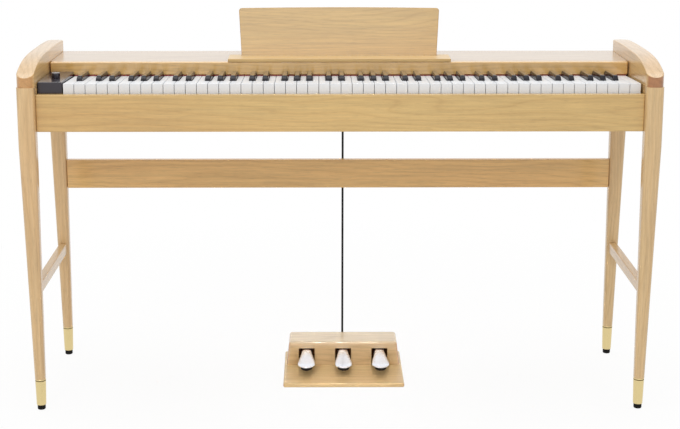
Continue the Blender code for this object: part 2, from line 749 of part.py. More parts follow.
def black_key(name, index, level, material):
    middle, half = black_middle(index), BLACK_WIDTH / 2
    left, right = middle - half, middle + half
    taper = (BLACK_WIDTH - BLACK_TOP_WIDTH) / 2
    front = KEY_FRONT_DEPTH + KEY_HEAD + SHOULDER + BLACK_FRONT_GAP
    end = FALLBOARD_DEPTH - BLACK_END_GAP
    low, foot = KEY_ARM_LOW_Z, BLACK_FRONT_FOOT

    def arm_height(depth):
        return white_top(depth) - BLACK_ARM_DROP

    def cap(depth, rise):
        drop = max(rise, foot / 2)
        inset = taper * rise / BLACK_HEIGHT
        return key_section(depth, left, right, low, white_top(depth) + rise, inset, drop)

    rings = [cap(front, foot), cap(front + BLACK_FRONT_SLOPE, BLACK_HEIGHT), cap(end - SHOULDER, BLACK_HEIGHT)]
    rings.append(key_section(end, left, right, low, arm_height(end), KEY_CHAMFER, KEY_CHAMFER))
    rings += arm_rings(left, right, level, arm_height)
    return loft(name, rings, material)


def comb_rail(name, keys, level, material):
    """The flat bar that joins the keys of one moulded set."""
    low = comb_rail_z(level)
    left = min(corner[0] for key in keys for corner in key.bound_box) - KEY_SIDE_GAP / 4
    right = max(corner[0] for key in keys for corner in key.bound_box) + KEY_SIDE_GAP / 4
    return make_box(
        name,
        (left, at(COMB_RAIL_DEPTH), low),
        (right, at(COMB_RAIL_DEPTH + COMB_RAIL_LENGTH), low + COMB_RAIL_THICK),
        material,
    )


def build_keys(ivory, ebony):
    """Three moulded sets an octave: C E G B, D F A and the black keys, on rails at three levels."""
    pivot = (0.0, at(PIVOT_DEPTH), PIVOT_Z)
    sets = {}
    for index in range(WHITE_KEYS):
        family, level = ("CEGB", 0) if letter(index) in "CEGB" else ("DFA", 1)
        key = white_key(f"white_{index}", index, level, ivory)
        sets.setdefault((octave(index), family, level), []).append(key)
        if has_black_after(index):
            key = black_key(f"black_{index}", index, 2, ebony)
            sets.setdefault((octave(index), "black", 2), []).append(key)
    for (number, family, level), keys in sets.items():
        material = ebony if family == "black" else ivory
        rail = comb_rail(f"rail_{number}_{family}", keys, level, material)
        fused(f"keys_oct{number}_{family}", [rail, *keys], material, pivot)


def frame_outline():
    """(depth, z) round the key frame's folded sheet, with the pivot bead on its rear upstand."""
    low = BOARD_TOP_Z + FIT
    floor = low + FRAME_SHEET
    stop_rear = STOP_RAIL_DEPTH + FRAME_SHEET
    post = FRAME_SHEET / 2
    dip = math.asin(post / PIVOT_RADIUS)
    bead = []
    for i in range(9):
        angle = -math.pi / 2 + dip + (2 * math.pi - 2 * dip) * i / 8
        bead.append((PIVOT_DEPTH + PIVOT_RADIUS * math.cos(angle), PIVOT_Z + PIVOT_RADIUS * math.sin(angle)))
    return [
        (FRAME_FRONT_DEPTH, low),
        (FRAME_REAR_DEPTH, low),
        (FRAME_REAR_DEPTH, floor),
        (PIVOT_DEPTH + post, floor),
        *bead,
        (PIVOT_DEPTH - post, floor),
        (stop_rear, floor),
        (stop_rear, STOP_RAIL_TOP_Z),
        (STOP_RAIL_DEPTH, STOP_RAIL_TOP_Z),
        (STOP_RAIL_DEPTH, floor),
        (FRAME_FRONT_DEPTH, floor),
    ]


def build_key_frame(steel):
    loft("key_frame", prism_rings(frame_outline(), KEYS_LEFT_X, KEYS_RIGHT_X), steel)


def build_controls(black):
    """The block at the bass end with the electronics inside, and the volume knob on it."""
    block = make_box(
        "control_block",
        (-INNER_X + BLOCK_GAP, at(KEY_FRONT_DEPTH), BOARD_TOP_Z + FIT),
        (-INNER_X + BLOCK_GAP + BLOCK_WIDTH, at(FALLBOARD_DEPTH - FIT), BLOCK_TOP_Z),
        black,
        edge=BLOCK_EDGE,
    )
    low = BLOCK_TOP_Z + FIT
    radius, stem = KNOB_DIAMETER / 2, KNOB_STEM_DIAMETER / 2
    edge = radius / 9
    profile = [
        (stem, low - KNOB_STEM_LENGTH),
        (stem, low),
        (radius - edge, low),
        (radius, low + edge),
        (radius, low + KNOB_HEIGHT - edge),
        (radius - edge, low + KNOB_HEIGHT),
    ]
    knob = loft("volume_knob", turned_rings(profile, ROUND, KNOB_X, at(KNOB_DEPTH)), black, smooth=True)
    mark = make_box(
        "knob_pointer_cut",
        (KNOB_X - edge / 2, at(KNOB_DEPTH - radius - edge), low + KNOB_HEIGHT - edge),
        (KNOB_X + edge / 2, at(KNOB_DEPTH - radius / 3), low + KNOB_HEIGHT + edge),
        black,
    )
    combine(knob, mark, "DIFFERENCE")
    set_origin(knob, (KNOB_X, at(KNOB_DEPTH), low))
    hole = [(stem + FIT, low - KNOB_STEM_LENGTH - FIT), (stem + FIT, low + KNOB_HEIGHT)]
    cutter = loft("knob_hole", turned_rings(hole, SMALL_ROUND, KNOB_X, at(KNOB_DEPTH)), black)
    combine(block, cutter, "DIFFERENCE")


def build_pedal_base(oak):
    make_box(
        "pedal_base",
        (PEDAL_X - BASE_WIDTH / 2, at(BASE_FRONT_DEPTH), 0.0),
        (PEDAL_X + BASE_WIDTH / 2, at(BASE_REAR_DEPTH), BASE_THICK),
        oak,
        edge=0.0020,
    )


def tapered_box(name, front, rear, low, top, foot_half, top_half, material):
    """A box whose two ends lean in towards its top."""
    rings = []
    for half, z in ((foot_half, low), (top_half, top)):
        corners = ((-half, front), (half, front), (half, rear), (-half, rear))
        rings.append([(PEDAL_X + x, at(depth), z) for x, depth in corners])
    return loft(name, rings, material)


def build_pedal_box(oak):
    """The pedal housing: open below, with a mouth for each pedal and holes for the axle and the cord."""
    low = BASE_THICK + FIT
    foot, top = BOX_FOOT_WIDTH / 2, BOX_TOP_WIDTH / 2
    box = tapered_box("pedal_housing", BOX_FRONT_DEPTH, BOX_REAR_DEPTH, low, BOX_TOP_Z, foot, top, oak)
    slope = (foot - top) / (BOX_TOP_Z - low)
    below = BOX_WALL / 2
    inner = tapered_box(
        "pedal_housing_hollow",
        BOX_FRONT_DEPTH + BOX_WALL,
        BOX_REAR_DEPTH - BOX_WALL,
        low - below,
        BOX_TOP_Z - BOX_WALL,
        foot - BOX_WALL + slope * below,
        top - BOX_WALL + slope * BOX_WALL,
        oak,
    )
    combine(box, inner, "DIFFERENCE")
    for place in (-1, 0, 1):
        middle = PEDAL_X + place * PEDAL_PITCH
        mouth = make_box(
            f"pedal_mouth_{place + 2}",
            (middle - MOUTH_WIDTH / 2, at(BOX_FRONT_DEPTH - BOX_WALL), low - below),
            (middle + MOUTH_WIDTH / 2, at(BOX_FRONT_DEPTH + 2 * BOX_WALL), MOUTH_TOP_Z),
            oak,
        )
        combine(box, mouth, "DIFFERENCE")
    reach = axle_half_length() + FIT
    seat = cylinder_along_x("axle_seat", AXLE_DEPTH, AXLE_Z, PEDAL_X - reach, PEDAL_X + reach,
                            AXLE_DIAMETER / 2 + FIT, SMALL_ROUND, oak)
    combine(box, seat, "DIFFERENCE")
    exit_hole = cylinder_along_y("cord_hole", PEDAL_X, CORD_LOW_Z, BOX_REAR_DEPTH - 2 * BOX_WALL,
                                 BOX_REAR_DEPTH + BOX_WALL, RELIEF_TIP_DIAMETER / 2 + FIT, SMALL_ROUND, oak)
    combine(box, exit_hole, "DIFFERENCE")
    bevel = box.modifiers.new("rounded edges", "BEVEL")
    bevel.width = BOX_EDGE
    bevel.segments = 2
    bevel.limit_method = "ANGLE"
    box.modifiers.move(len(box.modifiers) - 1, 0)


def axle_half_length():
    """Half the pedal axle: it ends inside the housing's side walls."""
    low = BASE_THICK + FIT
    share = (AXLE_Z - low) / (BOX_TOP_Z - low)
    half = BOX_FOOT_WIDTH / 2 + share * (BOX_TOP_WIDTH - BOX_FOOT_WIDTH) / 2
    return half - BOX_WALL / 2


def cylinder_along_x(name, depth, z, left, right, radius, count, material):
    rings = [[(x, at(depth) + a, z + b) for a, b in circle(radius, count)] for x in (left, right)]
    return loft(name, rings, material, smooth=True)


def pedal_half_width(depth):
    """Half the pedal's width: round at the tip, widest just behind it, then a long taper to the neck."""
    wide = PEDAL_WIDTH / 2
    neck = PEDAL_NECK_WIDTH / 2
    if depth < PEDAL_WIDE_DEPTH:
        share = (PEDAL_WIDE_DEPTH - depth) / (PEDAL_WIDE_DEPTH - PEDAL_TIP_DEPTH)
        return wide * math.sqrt(max(1 - share * share, 0.0))
    share = min((depth - PEDAL_WIDE_DEPTH) / (BOX_FRONT_DEPTH - PEDAL_WIDE_DEPTH), 1.0)
    return wide + (neck - wide) * (3 * share**2 - 2 * share**3)


def pedal_ring(middle, depth):
    """A pedal's section: flat below and domed above, on a lever that falls from the housing to its tip."""
    half = pedal_half_width(depth)
    tip = max((PEDAL_WIDE_DEPTH - depth) / (PEDAL_WIDE_DEPTH - PEDAL_TIP_DEPTH), 0.0)
    slope = (PEDAL_MOUTH_TOP_Z - PEDAL_WIDE_TOP_Z) / (BOX_FRONT_DEPTH - PEDAL_WIDE_DEPTH)
    crest = min(PEDAL_WIDE_TOP_Z + slope * (depth - PEDAL_WIDE_DEPTH), PEDAL_MOUTH_TOP_Z)
    top = crest - PEDAL_TIP_DROP * tip**2
    low = crest - PEDAL_THICK
    side = (low + 2 * top) / 3
    dome = [math.radians(angle) for angle in (30, 60, 90, 120, 150)]
    points = [(-PEDAL_SOLE, low), (PEDAL_SOLE, low), (1.0, (low + side) / 2)]
    points += [(math.cos(angle), side + (top - side) * math.sin(angle)) for angle in dome]
    points.append((-1.0, (low + side) / 2))
    return [(middle + half * x, at(depth), z) for x, z in points]


def build_pedals(chrome):
    """Chromed levers that share one axle inside the housing."""
    span = BOX_FRONT_DEPTH - PEDAL_WIDE_DEPTH
    tip = PEDAL_WIDE_DEPTH - PEDAL_TIP_DEPTH
    depths = [PEDAL_WIDE_DEPTH - tip * math.cos(math.radians(angle)) for angle in (9, 25, 42, 60, 78)]
    depths += [PEDAL_WIDE_DEPTH + span * share for share in (0.1, 0.3, 0.5, 0.7, 0.9, 1.1)]
    depths.append(AXLE_DEPTH)
    for name, place in (("left", -1), ("middle", 0), ("right", 1)):
        middle = PEDAL_X + place * PEDAL_PITCH
        lever = loft(f"pedal_{name}_lever", [pedal_ring(middle, depth) for depth in depths], chrome)
        half = PEDAL_NECK_WIDTH / 2
        hub = cylinder_along_x(f"pedal_{name}_hub", AXLE_DEPTH, AXLE_Z, middle - half, middle + half,
                               HUB_DIAMETER / 2, SMALL_ROUND, chrome)
        pedal = fused(f"pedal_{name}", [lever, hub], chrome, (middle, at(AXLE_DEPTH), AXLE_Z))
        bore = cylinder_along_x(f"pedal_{name}_bore", AXLE_DEPTH, AXLE_Z, middle - 2 * half, middle + 2 * half,
                                AXLE_DIAMETER / 2 + AXLE_PLAY, SMALL_ROUND, chrome)
        combine(pedal, bore, "DIFFERENCE")
        pedal.data.shade_smooth()
        pedal.data.set_sharp_from_angle(angle=math.radians(35))


def build_pedal_axle(steel):
    reach = axle_half_length()
    cylinder_along_x("pedal_axle", AXLE_DEPTH, AXLE_Z, PEDAL_X - reach, PEDAL_X + reach,
                     AXLE_DIAMETER / 2, SMALL_ROUND, steel)


# The cord's route as (depth, z): out of the strain relief, up in one bend, then straight to the plug.
CORD_ROUTE = [
    (0.3453, 0.0280),
    (0.3500, 0.0280),
    (0.3584, 0.0297),
    (0.3656, 0.0344),
    (0.3703, 0.0416),
    (0.3720, 0.0500),
    (0.3720, 0.0900),
    (0.3720, 0.1600),
    (0.3720, 0.2400),
    (0.3720, 0.3200),
    (0.3720, 0.4000),
    (0.3720, 0.4800),
    (0.3720, 0.5600),
    (0.3720, 0.6297),
]


def smooth_route(points, step):
    """Points about step apart on a smooth curve through the route."""
    found = []
    ends = [points[0], *points, points[-1]]
    for before, start, stop, after in zip(ends, ends[1:], ends[2:], ends[3:]):
        length = math.dist(start, stop)
        count = max(1, round(length / step))
        for i in range(count):
            t = i / count
            place = []
            for a, b, c, d in zip(before, start, stop, after):
                bend = 2 * b + (c - a) * t + (2 * a - 5 * b + 4 * c - d) * t**2 + (3 * b - a - 3 * c + d) * t**3
                place.append(bend / 2)
            found.append(tuple(place))
    return [*found, points[-1]]


def build_cord(black):
    curve = bpy.data.curves.new("pedal_cord", "CURVE")
    curve.dimensions = "3D"
    curve.bevel_depth = CORD_DIAMETER / 2
    curve.bevel_resolution = 2
    curve.use_fill_caps = True
    route = smooth_route(CORD_ROUTE, 2 * CORD_DIAMETER)
    spline = curve.splines.new("POLY")
    spline.points.add(len(route) - 1)
    for point, (depth, z) in zip(spline.points, route):
        point.co = (PEDAL_X, at(depth), z, 1.0)
    cord = bpy.data.objects.new("pedal_cord", curve)
    curve.materials.append(black)
    bpy.context.scene.collection.objects.link(cord)


def build_relief(black):
    """The tapered strain relief on the housing's rear wall, with the peg that goes through it."""
    wall = BOX_REAR_DEPTH
    profile = [
        (RELIEF_TIP_DIAMETER / 2, wall - RELIEF_PEG_LENGTH),
        (RELIEF_TIP_DIAMETER / 2, wall + FIT),
        (RELIEF_ROOT_DIAMETER / 2, wall + FIT),
        (RELIEF_ROOT_DIAMETER / 2, wall + RELIEF_LENGTH / 5),
        (RELIEF_TIP_DIAMETER / 2, wall + RELIEF_LENGTH),
    ]
    rings = [[(PEDAL_X + a, at(depth), CORD_LOW_Z + b) for a, b in circle(radius, SMALL_ROUND)]
             for radius, depth in profile]
    loft("cord_relief", rings, black, smooth=True)


def build_plug(black):
    """A right-angle plug: its pin goes forward into the back panel and the cord drops from below."""
    y = at(CORD_DEPTH)
    radius = PLUG_DIAMETER / 2
    tip = CORD_DIAMETER / 2 + 2 * FIT
    body = [
        (tip, PLUG_LOW_Z - PLUG_SLEEVE),
        (radius * 0.7, PLUG_LOW_Z),
        (radius, PLUG_LOW_Z),
        (radius, PLUG_LOW_Z + PLUG_HEIGHT - radius / 4),
        (radius * 0.75, PLUG_LOW_Z + PLUG_HEIGHT),
    ]
    plug = loft("pedal_plug", turned_rings(body, SMALL_ROUND, PEDAL_X, y), black, smooth=True)
    pin = cylinder_along_y("plug_pin", PEDAL_X, PLUG_PIN_Z, LID_REAR_DEPTH - PLUG_PIN_LENGTH, CORD_DEPTH,
                           PLUG_PIN_DIAMETER / 2, SMALL_ROUND, black)
    combine(plug, pin, "UNION")


def clear_scene():
    for item in list(bpy.data.objects):
        bpy.data.objects.remove(item)


def main():
    clear_scene()
    oak = make_material("oak", (0.62, 0.42, 0.20), 0.45)
    brass = make_material("satin brass", (0.78, 0.60, 0.28), 0.30, 1.0)
    chrome = make_material("chrome", (0.85, 0.85, 0.87), 0.08, 1.0)
    steel = make_material("zinc-plated steel", (0.55, 0.56, 0.58), 0.40, 1.0)
    black = make_material("black plastic", (0.02, 0.02, 0.025), 0.30)
    rubber = make_material("black rubber", (0.015, 0.015, 0.015), 0.70)
    ivory = make_material("white key plastic", (0.86, 0.86, 0.84), 0.22)
    ebony = make_material("black key plastic", (0.015, 0.015, 0.018), 0.18)
    felt = make_material("red felt", (0.30, 0.03, 0.03), 0.95)
    build_legs(oak, brass, rubber)
    build_stretchers(oak)
    build_cheeks(oak)
    build_case(oak)
    build_bottom_board(oak)
    build_speakers(black)
    build_back(oak)
    build_felt(felt)
    build_music_stand(oak)
    build_key_frame(steel)
    build_keys(ivory, ebony)
    build_controls(black)
    build_pedal_base(oak)
    build_pedal_box(oak)
    build_pedals(chrome)
    build_pedal_axle(steel)
    build_relief(black)
    build_plug(black)
    build_cord(black)


main()
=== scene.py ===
"""The looks of the digital piano: lacquered oak, brass, key plastics, chrome and the pedal cord.

Metres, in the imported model's frame. Depths are measured back from the front face of the legs, and at()
turns a depth into Y. Pieces that stand for a node take their place and size from that node's box.
"""

import math

import bmesh
import bpy
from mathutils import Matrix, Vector


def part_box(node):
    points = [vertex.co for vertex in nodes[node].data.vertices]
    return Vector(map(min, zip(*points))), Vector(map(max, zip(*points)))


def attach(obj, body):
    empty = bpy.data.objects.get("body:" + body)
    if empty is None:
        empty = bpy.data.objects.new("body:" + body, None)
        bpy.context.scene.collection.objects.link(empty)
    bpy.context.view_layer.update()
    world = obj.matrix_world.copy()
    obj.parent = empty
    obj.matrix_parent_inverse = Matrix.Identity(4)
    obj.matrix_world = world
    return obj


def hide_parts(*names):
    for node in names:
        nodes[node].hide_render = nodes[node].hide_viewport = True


# Camera, set to the photograph's angle
PHOTO_WIDTH = 680  # pixels
FOCAL_PIXELS = 1410.2
SENSOR = 36.0  # mm
CAMERA_PLACE = (-0.043, -3.0900, 1.2070)
CAMERA_PITCH = math.radians(11.437)
CAMERA_YAW = math.radians(-0.316)
CAMERA_SHIFT = (0.0181, -0.1200)

# The cord's route in metres, as in the model: out of the strain relief, up, and into the plug from below
CORD_X = 0.0105
CORD_DIAMETER = 0.0050
CORD_ROUTE = [
    (0.1553, 0.0280),
    (0.1600, 0.0280),
    (0.1684, 0.0297),
    (0.1756, 0.0344),
    (0.1803, 0.0416),
    (0.1820, 0.0500),
    (0.1820, 0.0900),
    (0.1820, 0.1600),
    (0.1820, 0.2400),
    (0.1820, 0.3200),
    (0.1820, 0.4000),
    (0.1820, 0.4800),
    (0.1820, 0.5600),
    (0.1820, 0.6297),
]

# Stand
CASE_DEPTH = 0.380
LEG_CORNER = 0.010
LEG_TAPER_Z = 0.590  # the legs taper from here down to the ferrule
LEG_FOOT_RADIUS = 0.0120
LEG_FOOT_INSET = 0.0050
LEG_CORNER_POINTS = 11
LEG_SECTIONS = 12
TENON_RADIUS = 0.0065
FERRULE_TIP_RADIUS = 0.01025
FERRULE_EDGE = 0.0008
FERRULE_LINING = 0.0050  # how far down the open top of the ferrule goes
GROOVE_DROP = 0.0022  # below the ferrule's top
GROOVE_WIDTH = 0.0018
GROOVE_DEPTH = 0.0014
TURNED_SIDES = 48
GLIDE_EDGE = 0.0018
STRETCHER_EDGE = 0.0022
BOARD_EDGE = 0.0015

# Cheeks
ARM_LOW_Z = 0.7157
ARM_FRONT_Z = 0.7365
ARM_CROWN_Z = 0.7700
ARM_CROWN_DEPTH = 0.270
ARM_RISE_POWER = 4.6
ARM_REAR_FALL = 0.0035
ARM_EDGE = 0.0020
ARM_END_STEPS = 12
ARM_STEPS = 36
CASE_SIDE_THICK = 0.0240
CASE_SIDE_EDGE = 0.0006
FALLBOARD_EDGE = 0.0025

# Music stand
DESK_WIDTH = 0.4370
DESK_FLARE = 0.0065
DESK_LEAN = 0.0300
DESK_THICK = 0.0120
DESK_CORNER = 0.0065
DESK_CROWN = 0.0018
DESK_DEPTH = 0.2350
DESK_EDGE = 0.0016
DESK_FOOT = 0.0022  # how far it stands in the ledge's groove

# All meshes
JOINT_GAP = 0.0003  # the model's clearance where boards meet, closed here
SAME_POINT = 0.000001  # points closer than this are made one

# Keys
WHITE_KEYS = 52
KEY_PITCH = 0.0235
KEY_SIDE_GAP = 0.0010
KEY_FRONT_DEPTH = 0.0380
FALLBOARD_DEPTH = 0.1860
KEY_FRONT_TOP_Z = 0.7188
KEY_REAR_TOP_Z = 0.7115
KEY_FRONT_LOW_Z = 0.6930
KEY_ARM_LOW_Z = 0.6970
KEY_HEAD = 0.0490
KEY_EDGE = 0.0009
SHOULDER = 0.0010
BLACK_WIDTH = 0.0122
BLACK_TOP_WIDTH = 0.0096
BLACK_HEIGHT = 0.0115
BLACK_FRONT_SLOPE = 0.0045
BLACK_FRONT_FOOT = 0.0020
BLACK_FRONT_GAP = 0.0014
BLACK_END_GAP = 0.0012
BLACK_ARM_GAP = 0.0003  # the hidden arm starts this far behind the cap's end
BLACK_EDGE = 0.0013
BLACK_FILLET = 0.0030
BLACK_UPRIGHT = 0.55  # share of the height below which the sides stand upright
PIVOT_DEPTH = 0.2620
PIVOT_NOTCH = 0.00467  # height of the notch over the pivot bead
PIVOT_Z = 0.6997
RAIL_DEPTH = 0.2720
RAIL_LENGTH = 0.0120
RAIL_THICK = 0.0033
RAIL_STEP = 0.0050
RAIL_EDGE = 0.0004
TOP_RAIL_Z = 0.7033

# Controls
BLOCK_EDGE = 0.0014
KNOB_GAP = 0.0003  # between the knob and the block
KNOB_FOOT_EDGE = 0.0006
KNOB_EDGE = 0.0026
KNOB_DISH = ((0.62, 0.0), (0.56, 0.0005), (0.10, 0.0007))  # (share of the radius, depth)
POINTER_ENDS = (0.54, 0.14)  # shares of the radius
POINTER_DEPTHS = (0.0008, 0.0002)  # below the knob's top
POINTER_WIDTH = 0.0010
POINTER_EDGE = 0.0001

# Pedal unit
PEDAL_X = 0.0105
PEDAL_PITCH = 0.0855
BOX_FRONT_DEPTH = 0.2510
BOX_WALL = 0.0100
BOX_LEAN = 0.0065  # each end of the housing leans in by this much
BOX_EDGE = 0.0055
BASE_EDGE = 0.0035
MOUTH_WIDTH = 0.0375
MOUTH_TOP_Z = 0.0525
MOUTH_EDGE = 0.0012
PEDAL_TIP_DEPTH = 0.1690
PEDAL_WIDE_DEPTH = 0.1900
PEDAL_WIDTH = 0.0395
PEDAL_NECK_WIDTH = 0.0230
PEDAL_MOUTH_TOP_Z = 0.0505
PEDAL_WIDE_TOP_Z = 0.0395
PEDAL_THICK = 0.0100
PEDAL_FALL = 0.050  # slope of the pedal's top at its widest place
CAP_DOME = 0.0028  # rise of the cap's top above its rim
CAP_RIM = 0.0013
CORE_WIDTH = 0.0270
CORE_SETBACK = 0.0008
CORE_EDGE = 0.0006
AXLE_DEPTH = 0.3000
AXLE_Z = 0.0375
HUB_RADIUS = 0.0075

OAK_LIGHT = (0.715, 0.478, 0.180)
OAK_MIDDLE = (0.655, 0.425, 0.152)
OAK_DARK = (0.550, 0.335, 0.108)
PLAIN_TINT = (1.0, 1.0, 1.0)
END_TINT = (0.88, 0.68, 0.56)  # end grain against the long faces
PALE_TINT = (1.04, 1.08, 1.42)  # the legs' solid oak is paler and pinker than the veneered boards
# Painted light and shade: the two arms are lit and shaded copies of one oak, each tinted for how light falls
# on its sides and ends, and the top tint paints extra light on the arm's top.
ARM_LIT_TINTS = {  # sides, ends, top
    "left": ((1.20, 1.17, 1.34), (0.75, 0.60, 0.48), (0.90, 0.97, 1.27)),
    "right": ((1.03, 1.00, 1.15), (0.60, 0.39, 0.32), (1.05, 1.13, 1.48)),
}
# Each board's tint is set to its colour as lit where it stands, so it holds painted light and shade besides
# the oak's own colour: the lid is painted paler as its sheen, and the boards under the case lighter against
# their shade.
BOARD_LOOKS = {
    "apron": {"tint": (0.97, 0.96, 0.93)},
    "fallboard": {"tint": (1.15, 1.04, 0.86), "coat": 1.0, "gloss": 1.8},
    "rear_stretcher": {"tint": (1.14, 1.08, 1.06)},
    "pedal_base": {"tint": (1.14, 1.24, 1.60), "coat": 0.45, "painted_top_light": (1.10, 1.14, 1.20)},
    "music_desk": {"tint": (0.85, 0.81, 0.69)},
    "pedal_housing": {
        "tint": (1.07, 1.08, 1.43),
        "coat": 1.0,
        "gloss": 1.8,
        "painted_top_light": (1.18, 1.38, 1.76),
    },
    "lid": {"tint": (0.84, 0.90, 1.48), "coat": 1.0, "gloss": 1.8},
    "music_ledge": {"tint": (1.09, 1.11, 1.20), "coat": 0.2, "painted_top_light": (1.06, 1.16, 1.50)},
    "back_panel": {},
    "bottom_board": {},
}
# Painted shade: the housing's inside and its mouths are painted dark red-brown for the shade inside them.
INSIDE_SHADE = {"tint": (0.62, 0.34, 0.26), "coat": 0.2}
ALONG = {"X": 0, "Y": 1, "Z": 2}
LEVEL = 0.9  # upward share of a face's normal above which the face counts as level

# Studio
FLOOR_HALF = 8.0
FLOOR_RAMP = 2.5  # metres from the middle that the ramp of the floor's whiteness covers
WORLD_LIGHT = 0.70
LAMPS = {  # place, target, size, power, spread in degrees
    "front lamp": ((-0.8, -3.6, 2.9), (0.0, 0.0, 0.3), (3.2, 2.0), 47.0, 180),
    "top lamp": ((0.0, 0.2, 3.2), (0.0, 0.0, 0.6), (3.2, 2.0), 33.5, 180),
    "pedal lamp": ((0.0, -1.7, 2.6), (PEDAL_X, 0.0, 0.0), (0.3, 0.2), 0.11, 12),
}

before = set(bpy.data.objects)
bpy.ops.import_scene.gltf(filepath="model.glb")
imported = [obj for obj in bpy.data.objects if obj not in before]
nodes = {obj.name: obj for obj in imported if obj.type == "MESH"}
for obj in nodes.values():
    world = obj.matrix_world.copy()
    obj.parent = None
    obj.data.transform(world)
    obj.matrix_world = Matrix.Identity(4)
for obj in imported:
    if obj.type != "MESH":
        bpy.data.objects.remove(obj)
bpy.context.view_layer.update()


def at(depth):
    """Y of a depth behind the legs' front face."""
    return depth - CASE_DEPTH / 2


def srgb(red, green, blue):
    """A linear colour from 0 to 255 display values."""
    values = [v / 255 for v in (red, green, blue)]
    return (*[v / 12.92 if v <= 0.04045 else ((v + 0.055) / 1.055) ** 2.4 for v in values], 1.0)


def grey(value):
    return (value, value, value, 1.0)


# Materials


class Nodes:
    """A material's node tree, with short calls for making and linking nodes."""

    def __init__(self, name):
        self.material = bpy.data.materials.new(name)
        self.material.use_nodes = True
        self.tree = self.material.node_tree
        self.shader = self.tree.nodes["Principled BSDF"]

    def add(self, kind, **settings):
        node = self.tree.nodes.new(kind)
        for key, value in settings.items():
            setattr(node, key, value)
        return node

    def link(self, source, target):
        self.tree.links.new(source, target)

    def place(self, scale=(1.0, 1.0, 1.0), shift=(0.0, 0.0, 0.0)):
        """Object coordinates, stretched and shifted."""
        where = self.add("ShaderNodeTexCoord")
        mapping = self.add("ShaderNodeMapping")
        mapping.inputs["Scale"].default_value = scale
        mapping.inputs["Location"].default_value = shift
        self.link(where.outputs["Object"], mapping.inputs["Vector"])
        return mapping.outputs["Vector"]

    def noise(self, vector, scale, detail=4.0, roughness=0.55):
        node = self.add("ShaderNodeTexNoise")
        node.inputs["Scale"].default_value = scale
        node.inputs["Detail"].default_value = detail
        node.inputs["Roughness"].default_value = roughness
        self.link(vector, node.inputs["Vector"])
        return node.outputs["Fac"]

    def math(self, operation, *values):
        node = self.add("ShaderNodeMath", operation=operation)
        for socket, value in zip(node.inputs, values):
            if isinstance(value, float):
                socket.default_value = value
            else:
                self.link(value, socket)
        return node.outputs[0]

    def dot(self, vector, direction):
        node = self.add("ShaderNodeVectorMath", operation="DOT_PRODUCT")
        self.link(vector, node.inputs[0])
        node.inputs[1].default_value = direction
        return node.outputs["Value"]

    def ramp(self, value, stops):
        node = self.add("ShaderNodeValToRGB")
        elements = node.color_ramp.elements
        while len(elements) < len(stops):
            elements.new(0.5)
        for element, (position, colour) in zip(elements, stops):
            element.position = position
            element.color = colour
        self.link(value, node.inputs["Fac"])
        return node.outputs["Color"]

    def mix(self, kind, factor, first, second):
        node = self.add("ShaderNodeMix", data_type="RGBA", blend_type=kind)
        sockets = node.inputs["Factor"], node.inputs[6], node.inputs[7]
        for socket, value in zip(sockets, (factor, first, second)):
            if isinstance(value, (float, tuple)):
                socket.default_value = value
            else:
                self.link(value, socket)
        return node.outputs[2]

    def bump(self, height, strength, distance):
        node = self.add("ShaderNodeBump")
        node.inputs["Strength"].default_value = strength
        node.inputs["Distance"].default_value = distance
        self.link(height, node.inputs["Height"])
        self.link(node.outputs["Normal"], self.shader.inputs["Normal"])

    def set(self, **values):
        """Plain values on the shader's own sockets, named in words."""
        for name, value in values.items():
            self.shader.inputs[name.replace("_", " ")].default_value = value


